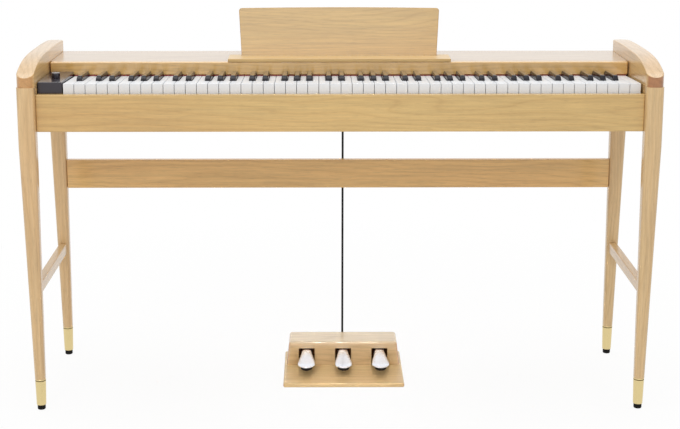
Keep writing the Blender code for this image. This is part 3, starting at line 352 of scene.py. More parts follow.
def oak(name, along, seed, tint=PLAIN_TINT, coat=0.8, gloss=1.5, end_tint=END_TINT, painted_top_light=None):
    """Clear-lacquered oak: growth rings in flat-sawn figure, fine streaks, short dark pores and end grain.

    A painted top light, colour that stands in for extra light from above, is laid over the level faces
    alone.
    """
    axis = ALONG[along]
    made = Nodes(name)
    stretch, fine, across, grain = [1.0] * 3, [1.0] * 3, [0.8] * 3, [0.0] * 3
    stretch[axis], fine[axis], across[axis], grain[axis] = 0.16, 0.035, 0.015, 1.0
    across[2 if axis != 2 else 0] = 1.0
    shift = (seed * 1.7, seed * 0.9, seed * 2.3)
    where = made.place(stretch, shift)
    # Rings: a slope across the board, bent by a slow noise and cut into bands
    bend = made.noise(where, 8.0, detail=2.5, roughness=0.45)
    level = made.math("MULTIPLY", made.dot(made.place(shift=shift), across), 95.0)
    rings = made.math("FRACT", made.math("MULTIPLY_ADD", bend, 15.0, level))
    # Patches of tone and hue, then bands, streaks and pores, each finer than the last
    tone = made.noise(where, 16.0, detail=2.0)
    hue = made.noise(where, 5.0, detail=2.0)
    bands = made.noise(made.place(fine, shift), 130.0, detail=3.0, roughness=0.6)
    streaks = made.noise(made.place(fine, shift), 420.0, detail=4.0, roughness=0.6)
    pores = made.noise(made.place(fine, shift), 1300.0, detail=2.0, roughness=0.5)
    pale, middle, dark = [(*[min(c * t, 1.0) for c, t in zip(colour, tint)], 1.0)
                          for colour in (OAK_LIGHT, OAK_MIDDLE, OAK_DARK)]
    colour = made.ramp(rings, [(0.0, dark), (0.16, middle), (0.55, pale), (0.88, middle), (1.0, dark)])
    colour = made.mix("MIX", 0.52, colour, made.ramp(tone, [(0.34, middle), (0.64, pale)]))
    pink, straw = (1.0, 0.93, 0.90, 1.0), (0.99, 1.0, 1.0, 1.0)
    colour = made.mix("MULTIPLY", 0.75, colour, made.ramp(hue, [(0.38, pink), (0.56, straw)]))
    colour = made.mix("MULTIPLY", 0.60, colour, made.ramp(bands, [(0.32, grey(0.78)), (0.60, grey(1.0))]))
    colour = made.mix("MULTIPLY", 0.50, colour, made.ramp(streaks, [(0.30, grey(0.74)), (0.64, grey(1.0))]))
    colour = made.mix("MULTIPLY", 0.45, colour, made.ramp(pores, [(0.30, grey(0.55)), (0.44, grey(1.0))]))
    # End grain, and the painted top light on level faces
    normal = made.add("ShaderNodeTexCoord").outputs["Normal"]
    level_face = made.math("ABSOLUTE", made.dot(normal, (0.0, 0.0, 1.0)))
    facing = made.math("SUBTRACT", made.math("ABSOLUTE", made.dot(normal, grain)), level_face)
    ends = made.ramp(facing, [(0.25, grey(0.0)), (0.60, grey(1.0))])
    cut = made.mix("MULTIPLY", 1.0, colour, (*end_tint, 1.0))
    colour = made.mix("MIX", ends, colour, cut)
    if painted_top_light:
        lit_top_share = made.ramp(level_face, [(0.45, grey(0.0)), (0.85, grey(1.0))])
        colour = made.mix("MULTIPLY", lit_top_share, colour, (*painted_top_light, 1.0))
    made.link(colour, made.shader.inputs["Base Color"])
    made.link(made.ramp(streaks, [(0.0, grey(0.50)), (1.0, grey(0.36))]), made.shader.inputs["Roughness"])
    made.set(Coat_Weight=coat, Coat_Roughness=0.14, Coat_IOR=gloss)
    made.bump(pores, 0.10, 0.0005)
    return made.material


def plastic(name, colour, roughness, mottle=0.04, coat=0.0, specular=0.5):
    """Moulded plastic with a slight unevenness in gloss and tone."""
    made = Nodes(name)
    cloud = made.noise(made.place(), 60.0, detail=3.0)
    darker = (*[c * (1 - mottle) for c in colour[:3]], 1.0)
    made.link(made.ramp(cloud, [(0.35, darker), (0.65, colour)]), made.shader.inputs["Base Color"])
    rough = made.ramp(cloud, [(0.3, grey(roughness * 0.88)), (0.7, grey(roughness * 1.12))])
    made.link(rough, made.shader.inputs["Roughness"])
    made.set(Coat_Weight=coat, Coat_Roughness=0.08, Specular_IOR_Level=specular)
    made.bump(made.noise(made.place(), 900.0), 0.03, 0.0003)
    return made.material


def metal(name, colour, roughness, brushed=(1.0, 1.0, 1.0)):
    """Metal with fine lines along one direction."""
    made = Nodes(name)
    lines = made.noise(made.place(brushed), 500.0, detail=3.0)
    made.set(Base_Color=colour, Metallic=1.0)
    rough = made.ramp(lines, [(0.3, grey(roughness * 0.8)), (0.7, grey(roughness * 1.2))])
    made.link(rough, made.shader.inputs["Roughness"])
    made.bump(lines, 0.04, 0.0003)
    return made.material


def felt_cloth(name):
    made = Nodes(name)
    fuzz = made.noise(made.place(), 1500.0, detail=6.0)
    red = made.ramp(fuzz, [(0.3, srgb(120, 26, 22)), (0.7, srgb(176, 50, 40))])
    made.link(red, made.shader.inputs["Base Color"])
    made.set(Roughness=0.95, Sheen_Weight=0.4)
    made.bump(fuzz, 0.5, 0.0005)
    return made.material


# Mesh helpers


def quarter(steps):
    """Angles from nothing to a quarter turn, in equal steps."""
    return [math.pi / 2 * i / steps for i in range(steps + 1)]


def skin(bm, rings):
    """A closed skin through rings of as many points each, with a flat cap on the first and the last."""
    rows = [[bm.verts.new(point) for point in ring] for ring in rings]
    count = len(rows[0])
    for lower, upper in zip(rows, rows[1:]):
        for i in range(count):
            j = (i + 1) % count
            bm.faces.new((lower[i], lower[j], upper[j], upper[i]))
    bm.faces.new(rows[0][::-1])
    bm.faces.new(rows[-1])


def add_box(bm, low, high, edge, steps=3):
    """A box from its lowest to its highest corner, with every edge rounded."""
    corners = [(low[0], low[1]), (high[0], low[1]), (high[0], high[1]), (low[0], high[1])]
    before = set(bm.edges)
    skin(bm, [[(x, y, z) for x, y in corners] for z in (low[2], high[2])])
    edges = [e for e in bm.edges if e not in before]
    bmesh.ops.bevel(bm, geom=edges, offset=edge, segments=steps, profile=0.5, affect="EDGES")


def make_piece(name, bm, material, crisp=180.0):
    """A smooth-shaded object: flat faces keep their own normals, and edges sharper than crisp stay sharp."""
    bmesh.ops.remove_doubles(bm, verts=bm.verts, dist=SAME_POINT)
    bmesh.ops.recalc_face_normals(bm, faces=bm.faces)
    mesh = bpy.data.meshes.new(name)
    bm.to_mesh(mesh)
    bm.free()
    mesh.shade_smooth()
    if crisp < 180:
        mesh.set_sharp_from_angle(angle=math.radians(crisp))
    mesh.materials.append(material)
    item = bpy.data.objects.new(name, mesh)
    bpy.context.scene.collection.objects.link(item)
    normals = item.modifiers.new("flat faces keep their normals", "WEIGHTED_NORMAL")
    normals.keep_sharp = True
    return item


def top_faces_gloss_and_highlight(item, material):
    """Gives the level faces of a piece a second material: a glossier plastic on the black keys, and on the
    knob a lighter one as a painted highlight.
    """
    item.data.materials.append(material)
    for face in item.data.polygons:
        face.material_index = int(face.normal.z > LEVEL)


def stand_in(item, node, body="root"):
    """Shows a piece in a node's place, on the node's body."""
    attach(item, body)
    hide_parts(node)


def board(node, material, edge, reach=0.0):
    """A board with rounded edges in a node's place, longer by reach at both ends to meet its neighbours."""
    bm = bmesh.new()
    low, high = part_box(node)
    add_box(bm, (low.x - reach, low.y, low.z), (high.x + reach, high.y, high.z), edge)
    stand_in(make_piece(f"{node}_board", bm, material), node)


def turned(bm, profile, x, y, sides=TURNED_SIDES):
    """A turned form round a vertical line, from (radius, z) points."""
    turns = [2 * math.pi * i / sides for i in range(sides)]
    around = [(math.cos(t), math.sin(t)) for t in turns]
    skin(bm, [[(x + radius * c, y + radius * s, z) for c, s in around] for radius, z in profile])


def rounded_step(radius, z, edge, steps=4):
    """Points round the outer top edge of a form that is this wide and ends at height z."""
    return [(radius - edge + edge * math.cos(a), z - edge + edge * math.sin(a)) for a in quarter(steps)]


def cut_away(item, cutters):
    """Cuts the forms of other objects out of one, and removes them."""
    for cutter in cutters:
        modifier = item.modifiers.new(cutter.name, "BOOLEAN")
        modifier.operation = "DIFFERENCE"
        modifier.object = cutter
        modifier.solver = "EXACT"
        modifier.material_mode = "TRANSFER"
        item.modifiers.move(len(item.modifiers) - 1, 0)
    graph = bpy.context.evaluated_depsgraph_get()
    item.data = bpy.data.meshes.new_from_object(item.evaluated_get(graph))
    item.modifiers.clear()
    for cutter in cutters:
        bpy.data.objects.remove(cutter)
    item.modifiers.new("flat faces keep their normals", "WEIGHTED_NORMAL").keep_sharp = True


# Stand and case


def rounded_square(width, depth, corner, steps):
    points = []
    for turn, (sx, sy) in enumerate(((1, 1), (-1, 1), (-1, -1), (1, -1))):
        for i in range(steps):
            angle = math.pi / 2 * (turn + i / (steps - 1))
            x = sx * (width / 2 - corner) + corner * math.cos(angle)
            points.append((x, sy * (depth / 2 - corner) + corner * math.sin(angle)))
    return points


def make_leg(node, side, material):
    """Rounded square down to the taper, then turning round as it narrows to the ferrule."""
    low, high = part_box(node)
    width, depth = high.x - low.x, high.y - low.y
    middle_x, middle_y = (low.x + high.x) / 2, (low.y + high.y) / 2
    square = rounded_square(width, depth, LEG_CORNER, LEG_CORNER_POINTS)
    round_points = rounded_square(width, width, LEG_CORNER, LEG_CORNER_POINTS)
    around = [Vector(p).normalized() for p in round_points]
    foot = [(LEG_FOOT_RADIUS * d.x, LEG_FOOT_RADIUS * d.y) for d in around]
    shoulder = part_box(node.replace("leg", "ferrule"))[1].z
    rings = [[(middle_x + x, middle_y + y, high.z) for x, y in square]]
    for i in range(LEG_SECTIONS + 1):
        share = i / LEG_SECTIONS
        z = LEG_TAPER_Z + (shoulder - LEG_TAPER_Z) * share
        x = middle_x - side * share * LEG_FOOT_INSET
        ring = []
        for (x0, y0), (x1, y1) in zip(square, foot):
            ring.append((x + x0 + (x1 - x0) * share, middle_y + y0 + (y1 - y0) * share, z))
        rings.append(ring)
    foot_x = middle_x - side * LEG_FOOT_INSET
    for z in (shoulder, low.z):
        rings.append([(foot_x + TENON_RADIUS * d.x, middle_y + TENON_RADIUS * d.y, z) for d in around])
    bm = bmesh.new()
    skin(bm, rings)
    stand_in(make_piece(f"{node}_turned", bm, material, crisp=50), node)


def make_ferrule(node, material, groove_shade_material):
    """The tapered brass cup: rounded at both ends, with a groove turned in under its top."""
    low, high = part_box(node)
    x, y = (low.x + high.x) / 2, (low.y + high.y) / 2
    collar = (high.x - low.x) / 2
    foot = rounded_step(FERRULE_TIP_RADIUS, low.z, FERRULE_EDGE)
    groove = high.z - GROOVE_DROP
    profile = [(TENON_RADIUS / 2, low.z)]
    profile += [(radius, 2 * low.z - z) for radius, z in reversed(foot)]
    profile += [(collar, groove - GROOVE_WIDTH), (collar - GROOVE_DEPTH, groove - GROOVE_WIDTH)]
    profile += [(collar - GROOVE_DEPTH, groove), (collar, groove)]
    profile += rounded_step(collar, high.z, FERRULE_EDGE)
    mouth = TENON_RADIUS + FERRULE_EDGE
    profile += [(mouth, high.z), (mouth, high.z - FERRULE_LINING)]
    bm = bmesh.new()
    turned(bm, profile, x, y)
    cup = make_piece(f"{node}_cup", bm, material, crisp=50)
    # Painted shade: faces deep in the groove take a darker brass, shade painted into the groove.
    cup.data.materials.append(groove_shade_material)
    margin = GROOVE_WIDTH / 10
    for face in cup.data.polygons:
        deep = math.hypot(face.center.x - x, face.center.y - y) < collar - GROOVE_DEPTH / 4
        in_groove = groove - GROOVE_WIDTH - margin < face.center.z < groove + margin
        face.material_index = int(deep and in_groove)
    stand_in(cup, node)


def make_glide(node, material):
    low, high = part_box(node)
    x, y = (low.x + high.x) / 2, (low.y + high.y) / 2
    radius, top = (high.x - low.x) / 2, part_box(node.replace("glide", "ferrule"))[0].z
    upper = rounded_step(radius, top, GLIDE_EDGE)
    lower = [(r, low.z + top - z) for r, z in reversed(upper)]
    profile = lower + upper + [(radius / 2, top), (radius / 2, high.z)]
    bm = bmesh.new()
    turned(bm, profile, x, y, sides=32)
    stand_in(make_piece(f"{node}_foot", bm, material, crisp=50), node)


def arm_top(depth):
    """Height of the arm's top: a quick climb behind its front end, then a long flat crown."""
    if depth < ARM_CROWN_DEPTH:
        share = 1.0 - depth / ARM_CROWN_DEPTH
        return ARM_CROWN_Z - (ARM_CROWN_Z - ARM_FRONT_Z) * share**ARM_RISE_POWER
    share = (depth - ARM_CROWN_DEPTH) / (CASE_DEPTH - ARM_CROWN_DEPTH)
    return ARM_CROWN_Z - ARM_REAR_FALL * share**2


def arm_section(middle, depth, half):
    """The arm's section: flat below, with both top edges rounded."""
    top = arm_top(depth)
    edge = min(ARM_EDGE, 0.8 * half)
    right = [(half, ARM_LOW_Z)] + rounded_step(half, top, edge, steps=6)
    return [(middle + x, at(depth), z) for x, z in right + [(-x, z) for x, z in reversed(right)]]


def make_cheek(node, side, material, panel_material):
    """The shaped arm over a pair of legs, half round in plan at both ends, with the case side below it."""
    low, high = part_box(node)
    leg_low, leg_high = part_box(node.replace("cheek", "leg_front"))
    middle, radius = (leg_low.x + leg_high.x) / 2, (leg_high.x - leg_low.x) / 2
    angles = [math.pi / 2 * (i + 0.5) / ARM_END_STEPS for i in range(ARM_END_STEPS)]
    front = [(radius * (1 - math.cos(a)), radius * math.sin(a)) for a in angles]
    shares = [(i / ARM_STEPS) ** 1.5 for i in range(ARM_STEPS + 1)]
    straight = [(radius + (CASE_DEPTH - 2 * radius) * share, radius) for share in shares]
    rear = [(CASE_DEPTH - depth, half) for depth, half in reversed(front)]
    bm = bmesh.new()
    skin(bm, [arm_section(middle, depth, half) for depth, half in front + straight + rear])
    stand_in(make_piece(f"{node}_arm", bm, material, crisp=60), node)
    panel_low, panel_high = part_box("apron")[0].z, ARM_LOW_Z
    inner = middle - side * radius
    faces = sorted((inner, inner + side * CASE_SIDE_THICK))
    depth = leg_high.y - leg_low.y
    corners = (faces[0], low.y + depth, panel_low), (faces[1], high.y - depth, panel_high)
    bm = bmesh.new()
    add_box(bm, *corners, CASE_SIDE_EDGE)
    stand_in(make_piece(f"{node}_side", bm, panel_material), node)


def desk_point(x, rise, thick):
    """A point of the leaning desk: rise runs up its front face from the ledge's top."""
    ledge_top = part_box("music_ledge")[1].z
    lean = math.atan2(DESK_LEAN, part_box("music_desk")[1].z - ledge_top)
    depth = DESK_DEPTH + rise * math.sin(lean) + thick * math.cos(lean)
    return (x, at(depth), ledge_top + rise * math.cos(lean) - thick * math.sin(lean))


def make_desk(material):
    """The leaning desk: wider at the top, with round top corners and softened edges."""
    ledge_top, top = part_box("music_ledge")[1].z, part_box("music_desk")[1].z
    length = math.hypot(top - ledge_top, DESK_LEAN)
    shoulder = DESK_WIDTH / 2 + DESK_FLARE

    def outline(inset):
        corner = DESK_CORNER - inset
        right = [(DESK_WIDTH / 2 - inset, -DESK_FOOT)]
        centre_x, centre_z = shoulder - DESK_CORNER, length - DESK_CROWN - DESK_CORNER
        right += [(centre_x + corner * math.cos(a), centre_z + corner * math.sin(a)) for a in quarter(8)]
        crown = [(centre_x * i / 8, length - inset - DESK_CROWN * (i / 8) ** 2) for i in range(7, 0, -1)]
        half = right + crown
        return half + [(0.0, length - inset)] + [(-x, rise) for x, rise in reversed(half)]

    front = [(DESK_EDGE * (1 - math.sin(a)), DESK_EDGE * (1 - math.cos(a))) for a in quarter(3)]
    layers = front + [(inset, DESK_THICK - thick) for inset, thick in reversed(front)]
    bm = bmesh.new()
    skin(bm, [[desk_point(x, rise, thick) for x, rise in outline(inset)] for inset, thick in layers])
    stand_in(make_piece("music_desk_board", bm, material, crisp=60), "music_desk", "music_stand")


# Keys


def white_top(depth):
    """Height of the white key tops, which fall towards the fallboard."""
    share = (depth - KEY_FRONT_DEPTH) / (FALLBOARD_DEPTH - KEY_FRONT_DEPTH)
    return KEY_FRONT_TOP_Z + (KEY_REAR_TOP_Z - KEY_FRONT_TOP_Z) * share


def letter(index):
    return "ABCDEFG"[index % 7]


def octave(index):
    """Which moulded set a white key, or the black key on its right, belongs to: 1 for the lowest."""
    return min(max((index - 2) // 7, 0), 6) + 1


def has_black_after(index):
    return letter(index) in "ACDFG" and index < WHITE_KEYS - 1


def black_middle(index, first_x):
    """X of the black key between white keys index and index + 1."""
    offset = {"C": -1 / 10, "D": 1 / 10, "F": -1 / 7, "G": 0.0, "A": 1 / 7}[letter(index)]
    return first_x + (index + 1 + offset) * KEY_PITCH


def key_ring(depth, left, right, low, high, edge, taper=0.0, waist=None):
    """A key's section: upright sides up to the waist, then leaning in by taper to rounded top edges."""
    waist = high - edge if waist is None else waist
    width, middle = (right - left) / 2, (left + right) / 2
    half = [(width, low), (width, waist)] + rounded_step(width - taper, high, edge, steps=3)
    return [(middle + x, at(depth), z) for x, z in half + [(-x, z) for x, z in reversed(half)]]


def arm_rings(left, right, level, top):
    """The hidden back of a key: over the pivot bead in a notch, then to its comb's rail."""
    apex = PIVOT_Z + PIVOT_NOTCH
    reach = apex - KEY_ARM_LOW_Z
    rail, margin = TOP_RAIL_Z - level * RAIL_STEP, RAIL_THICK / 8
    front, back = PIVOT_DEPTH - reach, PIVOT_DEPTH + reach
    stations = [
        (front, KEY_ARM_LOW_Z, top(front)),
        (PIVOT_DEPTH, apex, top(PIVOT_DEPTH)),
        (back, KEY_ARM_LOW_Z, top(back)),
        (RAIL_DEPTH, rail + margin, rail + RAIL_THICK - margin),
        (RAIL_DEPTH + RAIL_LENGTH / 3, rail + margin, rail + RAIL_THICK - margin),
    ]
    return [key_ring(depth, left, right, low, high, KEY_EDGE) for depth, low, high in stations]


def add_white_key(bm, index, level, first_x):
    left = first_x + index * KEY_PITCH + KEY_SIDE_GAP / 2
    right = left + KEY_PITCH - KEY_SIDE_GAP
    reach = BLACK_WIDTH / 2 + KEY_SIDE_GAP
    neck_left, neck_right = left, right
    if index > 0 and has_black_after(index - 1):
        neck_left = black_middle(index - 1, first_x) + reach
    if has_black_after(index):
        neck_right = black_middle(index, first_x) - reach
    rings = []
    for angle in quarter(3):
        depth = KEY_FRONT_DEPTH + KEY_EDGE * (1 - math.cos(angle))
        shrink = KEY_EDGE * (1 - math.sin(angle))
        edge = max(KEY_EDGE - shrink, KEY_EDGE / 10)
        low, high = KEY_FRONT_LOW_Z, white_top(depth) - shrink
        rings.append(key_ring(depth, left + shrink, right - shrink, low, high, edge))
    head = KEY_FRONT_DEPTH + KEY_HEAD
    rings.append(key_ring(head, left, right, KEY_FRONT_LOW_Z, white_top(head), KEY_EDGE))
    neck = head + SHOULDER
    rings.append(key_ring(neck, neck_left, neck_right, KEY_FRONT_LOW_Z, white_top(neck), KEY_EDGE))
    skin(bm, rings + arm_rings(neck_left, neck_right, level, white_top))


def add_black_key(bm, index, level, first_x):
    """A tapered cap whose front slopes back and rounds over into its top."""
    middle = black_middle(index, first_x)
    left, right = middle - BLACK_WIDTH / 2, middle + BLACK_WIDTH / 2
    taper = (BLACK_WIDTH - BLACK_TOP_WIDTH) / 2
    front = KEY_FRONT_DEPTH + KEY_HEAD + SHOULDER + BLACK_FRONT_GAP
    end = FALLBOARD_DEPTH - BLACK_END_GAP
    slope = math.atan2(BLACK_HEIGHT - BLACK_FRONT_FOOT, BLACK_FRONT_SLOPE)
    tangent = BLACK_FILLET * math.tan(slope / 2)
    stations = [(front, BLACK_FRONT_FOOT)]
    for i in range(6):
        angle = slope * (1 - i / 5)
        depth = front + BLACK_FRONT_SLOPE + tangent - BLACK_FILLET * math.sin(angle)
        stations.append((depth, BLACK_HEIGHT - BLACK_FILLET * (1 - math.cos(angle))))
    stations += [(end - SHOULDER, BLACK_HEIGHT), (end, BLACK_HEIGHT - SHOULDER)]
    rings = []
    for depth, rise in stations:
        foot = white_top(depth)
        top, waist = foot + rise, foot + BLACK_UPRIGHT * rise
        lean, edge = taper * rise / BLACK_HEIGHT, min(BLACK_EDGE, rise * 0.4)
        rings.append(key_ring(depth, left, right, KEY_ARM_LOW_Z, top, edge, lean, waist))

    def arm_height(depth):
        return white_top(depth) - SHOULDER

    arm = end + BLACK_ARM_GAP
    rings.append(key_ring(arm, left, right, KEY_ARM_LOW_Z, arm_height(arm), KEY_EDGE))
    skin(bm, rings + arm_rings(left, right, level, arm_height))


def make_keys(ivory, ebony, ebony_top):
    """The key tops in their moulded sets, three an octave, each on its own body."""
    first_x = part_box("key_frame")[0].x
    sets = {}

    def mesh_of(*key_set):
        if key_set not in sets:
            sets[key_set] = bmesh.new()
        return sets[key_set]

    for index in range(WHITE_KEYS):
        family, level = ("CEGB", 0) if letter(index) in "CEGB" else ("DFA", 1)
        add_white_key(mesh_of(octave(index), family, level), index, level, first_x)
        if has_black_after(index):
            add_black_key(mesh_of(octave(index), "black", 2), index, 2, first_x)
    for (number, family, level), bm in sets.items():
        node = f"keys_oct{number}_{family}"
        low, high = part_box(node)
        rail = TOP_RAIL_Z - level * RAIL_STEP
        rear = at(RAIL_DEPTH + RAIL_LENGTH)
        add_box(bm, (low.x, at(RAIL_DEPTH), rail), (high.x, rear, rail + RAIL_THICK), RAIL_EDGE)
        material, slot = (ebony, "black_keys") if family == "black" else (ivory, "white_keys")
        tops = make_piece(f"{node}_tops", bm, material, crisp=50)
        if family == "black":
            top_faces_gloss_and_highlight(tops, ebony_top)
        stand_in(tops, node, node)


# Controls


def make_controls(material, knob_top_highlight):
    """The black block at the bass end, and its knob with a dished top, glossier and painted lighter on its
    level faces as a painted highlight.
    """
    bm = bmesh.new()
    low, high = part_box("control_block")
    add_box(bm, low, high, BLOCK_EDGE)
    stand_in(make_piece("control_block_case", bm, material), "control_block")
    low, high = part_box("volume_knob")
    x, y, radius = (low.x + high.x) / 2, (low.y + high.y) / 2, (high.x - low.x) / 2
    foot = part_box("control_block")[1].z + KNOB_GAP
    profile = [(radius / 3, low.z), (radius / 3, foot)]
    profile += [(radius - KNOB_FOOT_EDGE, foot), (radius, foot + KNOB_FOOT_EDGE)]
    profile += rounded_step(radius, high.z, KNOB_EDGE, steps=6)
    profile += [(radius * share, high.z - depth) for share, depth in KNOB_DISH]
    bm = bmesh.new()
    turned(bm, profile, x, y, sides=64)
    pointer = []
    for hand, end, depth in zip((-1, 1), POINTER_ENDS, POINTER_DEPTHS):
        pointer.append((x + hand * POINTER_WIDTH / 2, y - radius * end, high.z - depth))
    add_box(bm, *pointer, POINTER_EDGE)
    cap = make_piece("volume_knob_cap", bm, material, crisp=50)
    top_faces_gloss_and_highlight(cap, knob_top_highlight)
    stand_in(cap, "volume_knob", "volume_knob")


# Pedal unit


def make_housing(material, inside_shade):
    """The housing: leaning ends, rounded edges, hollow, with its inside painted dark red-brown as painted
    shade, and a mouth for each pedal.
    """
    low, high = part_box("pedal_housing")
    foot = (high.x - low.x) / 2

    def tapered(bm, front, rear, bottom, top, inset):
        lean = BOX_LEAN / (high.z - low.z)
        rings = []
        for z in (bottom, top):
            half = foot - inset - lean * (z - low.z)
            corners = (-half, front), (half, front), (half, rear), (-half, rear)
            rings.append([(PEDAL_X + x, y, z) for x, y in corners])
        skin(bm, rings)

    bm = bmesh.new()
    tapered(bm, low.y, high.y, low.z, high.z, 0.0)
    upper = [e for e in bm.edges if max(v.co.z for v in e.verts) > high.z - BOX_EDGE]
    bmesh.ops.bevel(bm, geom=upper, offset=BOX_EDGE, segments=4, profile=0.5, affect="EDGES")
    housing = make_piece("pedal_housing_box", bm, material, crisp=50)
    bm = bmesh.new()
    tapered(bm, low.y + BOX_WALL, high.y - BOX_WALL, low.z - BOX_WALL, high.z - BOX_WALL, BOX_WALL)
    # The hollow and the mouths leave the painted inside shade on the faces they cut.
    cutters = [make_piece("housing_hollow", bm, inside_shade)]
    for place in (-1, 0, 1):
        middle = PEDAL_X + place * PEDAL_PITCH
        bm = bmesh.new()
        corner = (middle - MOUTH_WIDTH / 2, low.y - BOX_WALL, low.z - BOX_WALL)
        opposite = (middle + MOUTH_WIDTH / 2, low.y + 2 * BOX_WALL, MOUTH_TOP_Z)
        add_box(bm, corner, opposite, MOUTH_EDGE)
        cutters.append(make_piece(f"housing_mouth_{place + 2}", bm, inside_shade))
    cut_away(housing, cutters)
    stand_in(housing, "pedal_housing")


def pedal_half_width(depth):
    """Half the pedal's width: round at the tip, widest just behind it, then a long taper to the neck."""
    wide, neck = PEDAL_WIDTH / 2, PEDAL_NECK_WIDTH / 2
    if depth < PEDAL_WIDE_DEPTH:
        share = (PEDAL_WIDE_DEPTH - depth) / (PEDAL_WIDE_DEPTH - PEDAL_TIP_DEPTH)
        return wide * math.sqrt(max(1 - share * share, 0.0))
    share = min((depth - PEDAL_WIDE_DEPTH) / (BOX_FRONT_DEPTH - PEDAL_WIDE_DEPTH), 1.0)
    return wide + (neck - wide) * (3 * share**2 - 2 * share**3)


def pedal_top(depth):
    """Height of the pedal's middle line: nearly level at its wide end, steeper towards the housing."""
    span = BOX_FRONT_DEPTH - PEDAL_WIDE_DEPTH
    run = min(max(depth - PEDAL_WIDE_DEPTH, -span), span)
    bend = (PEDAL_MOUTH_TOP_Z - PEDAL_WIDE_TOP_Z - PEDAL_FALL * span) / span**2
    return PEDAL_WIDE_TOP_Z + PEDAL_FALL * run + bend * run * abs(run)


def nose_share(depth):
    """1 along the pedal, falling to 0 at its tip in a quarter round."""
    tip = max((PEDAL_WIDE_DEPTH - depth) / (PEDAL_WIDE_DEPTH - PEDAL_TIP_DEPTH), 0.0)
    return math.sqrt(max(1 - tip * tip, 0.0))


def cap_ring(middle, depth):
    """The chromed cap's section: a shallow dome above a rounded rim."""
    half, share = pedal_half_width(depth), nose_share(depth) ** 0.7
    rim = pedal_top(depth) - CAP_DOME
    points = []
    for i in range(28):
        angle = 2 * math.pi * (i + 0.5) / 28
        out = math.copysign(abs(math.cos(angle)) ** 0.8, math.cos(angle))
        up = math.sin(angle)
        z = rim + CAP_DOME * share * up**0.85 if up > 0 else rim - CAP_RIM * share * (-up) ** 0.6
        points.append((middle + half * out, at(depth), z))
    return points


def core_ring(middle, depth, half):
    """The black core's section, half let into the cap."""
    top = pedal_top(depth) - CAP_DOME - CAP_RIM / 2
    low = pedal_top(depth) - PEDAL_THICK
    upper = [(half, low + CORE_EDGE), (half, top), (-half, top), (-half, low + CORE_EDGE)]
    lower = [(-half + CORE_EDGE, low), (half - CORE_EDGE, low)]
    return [(middle + x, at(depth), z) for x, z in upper + lower]


def make_pedals(chrome, black):
    """Each pedal: a chromed cap on a black core that ends in the hub on the axle."""
    tip = PEDAL_WIDE_DEPTH - PEDAL_TIP_DEPTH
    depths = [PEDAL_WIDE_DEPTH - tip * math.cos(math.pi / 2 * (i + 0.4) / 12) for i in range(12)]
    steps = 14
    reach = BOX_FRONT_DEPTH + BOX_WALL - PEDAL_WIDE_DEPTH
    depths += [PEDAL_WIDE_DEPTH + reach * (i + 0.5) / steps for i in range(steps)] + [AXLE_DEPTH]
    round_steps = [math.pi / 2 * (i + 0.5) / 6 for i in range(6)]
    core, start = CORE_WIDTH / 2, PEDAL_TIP_DEPTH + CORE_SETBACK
    nose = [(start + core * (1 - math.cos(a)), core * math.sin(a)) for a in round_steps]
    along = nose + [(depth, core) for depth in depths if depth > nose[-1][0]]
    for name, place in (("left", -1), ("middle", 0), ("right", 1)):
        middle = PEDAL_X + place * PEDAL_PITCH
        node = f"pedal_{name}"
        bm = bmesh.new()
        skin(bm, [cap_ring(middle, depth) for depth in depths])
        stand_in(make_piece(f"{node}_cap", bm, chrome, crisp=50), node, node)
        bm = bmesh.new()
        skin(bm, [core_ring(middle, depth, half) for depth, half in along])
        half = PEDAL_NECK_WIDTH / 2
        turns = [2 * math.pi * i / 32 for i in range(32)]
        hub = [(at(AXLE_DEPTH) + HUB_RADIUS * math.cos(t), AXLE_Z + HUB_RADIUS * math.sin(t)) for t in turns]
        skin(bm, [[(x, y, z) for y, z in hub] for x in (middle - half, middle + half)])
        stand_in(make_piece(f"{node}_core", bm, black, crisp=50), node, node)


def make_cord(material):
    """The pedal cord as one smooth tube on its route."""
    curve = bpy.data.curves.new("pedal_cord_tube", "CURVE")
    curve.dimensions = "3D"
    curve.bevel_depth = CORD_DIAMETER / 2
    curve.bevel_resolution = 4
    curve.use_fill_caps = True
    spline = curve.splines.new("POLY")
    spline.points.add(len(CORD_ROUTE) - 1)
    for point, (y, z) in zip(spline.points, CORD_ROUTE):
        point.co = (CORD_X, y, z, 1.0)
    tube = bpy.data.objects.new("pedal_cord_tube", curve)
    bpy.context.scene.collection.objects.link(tube)
    curve.materials.append(material)
    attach(tube, "root")
    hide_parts("pedal_cord")


def paint(names, material):
    for name in names:
        mesh = nodes[name].data
        mesh.materials.clear()
        mesh.materials.append(material)


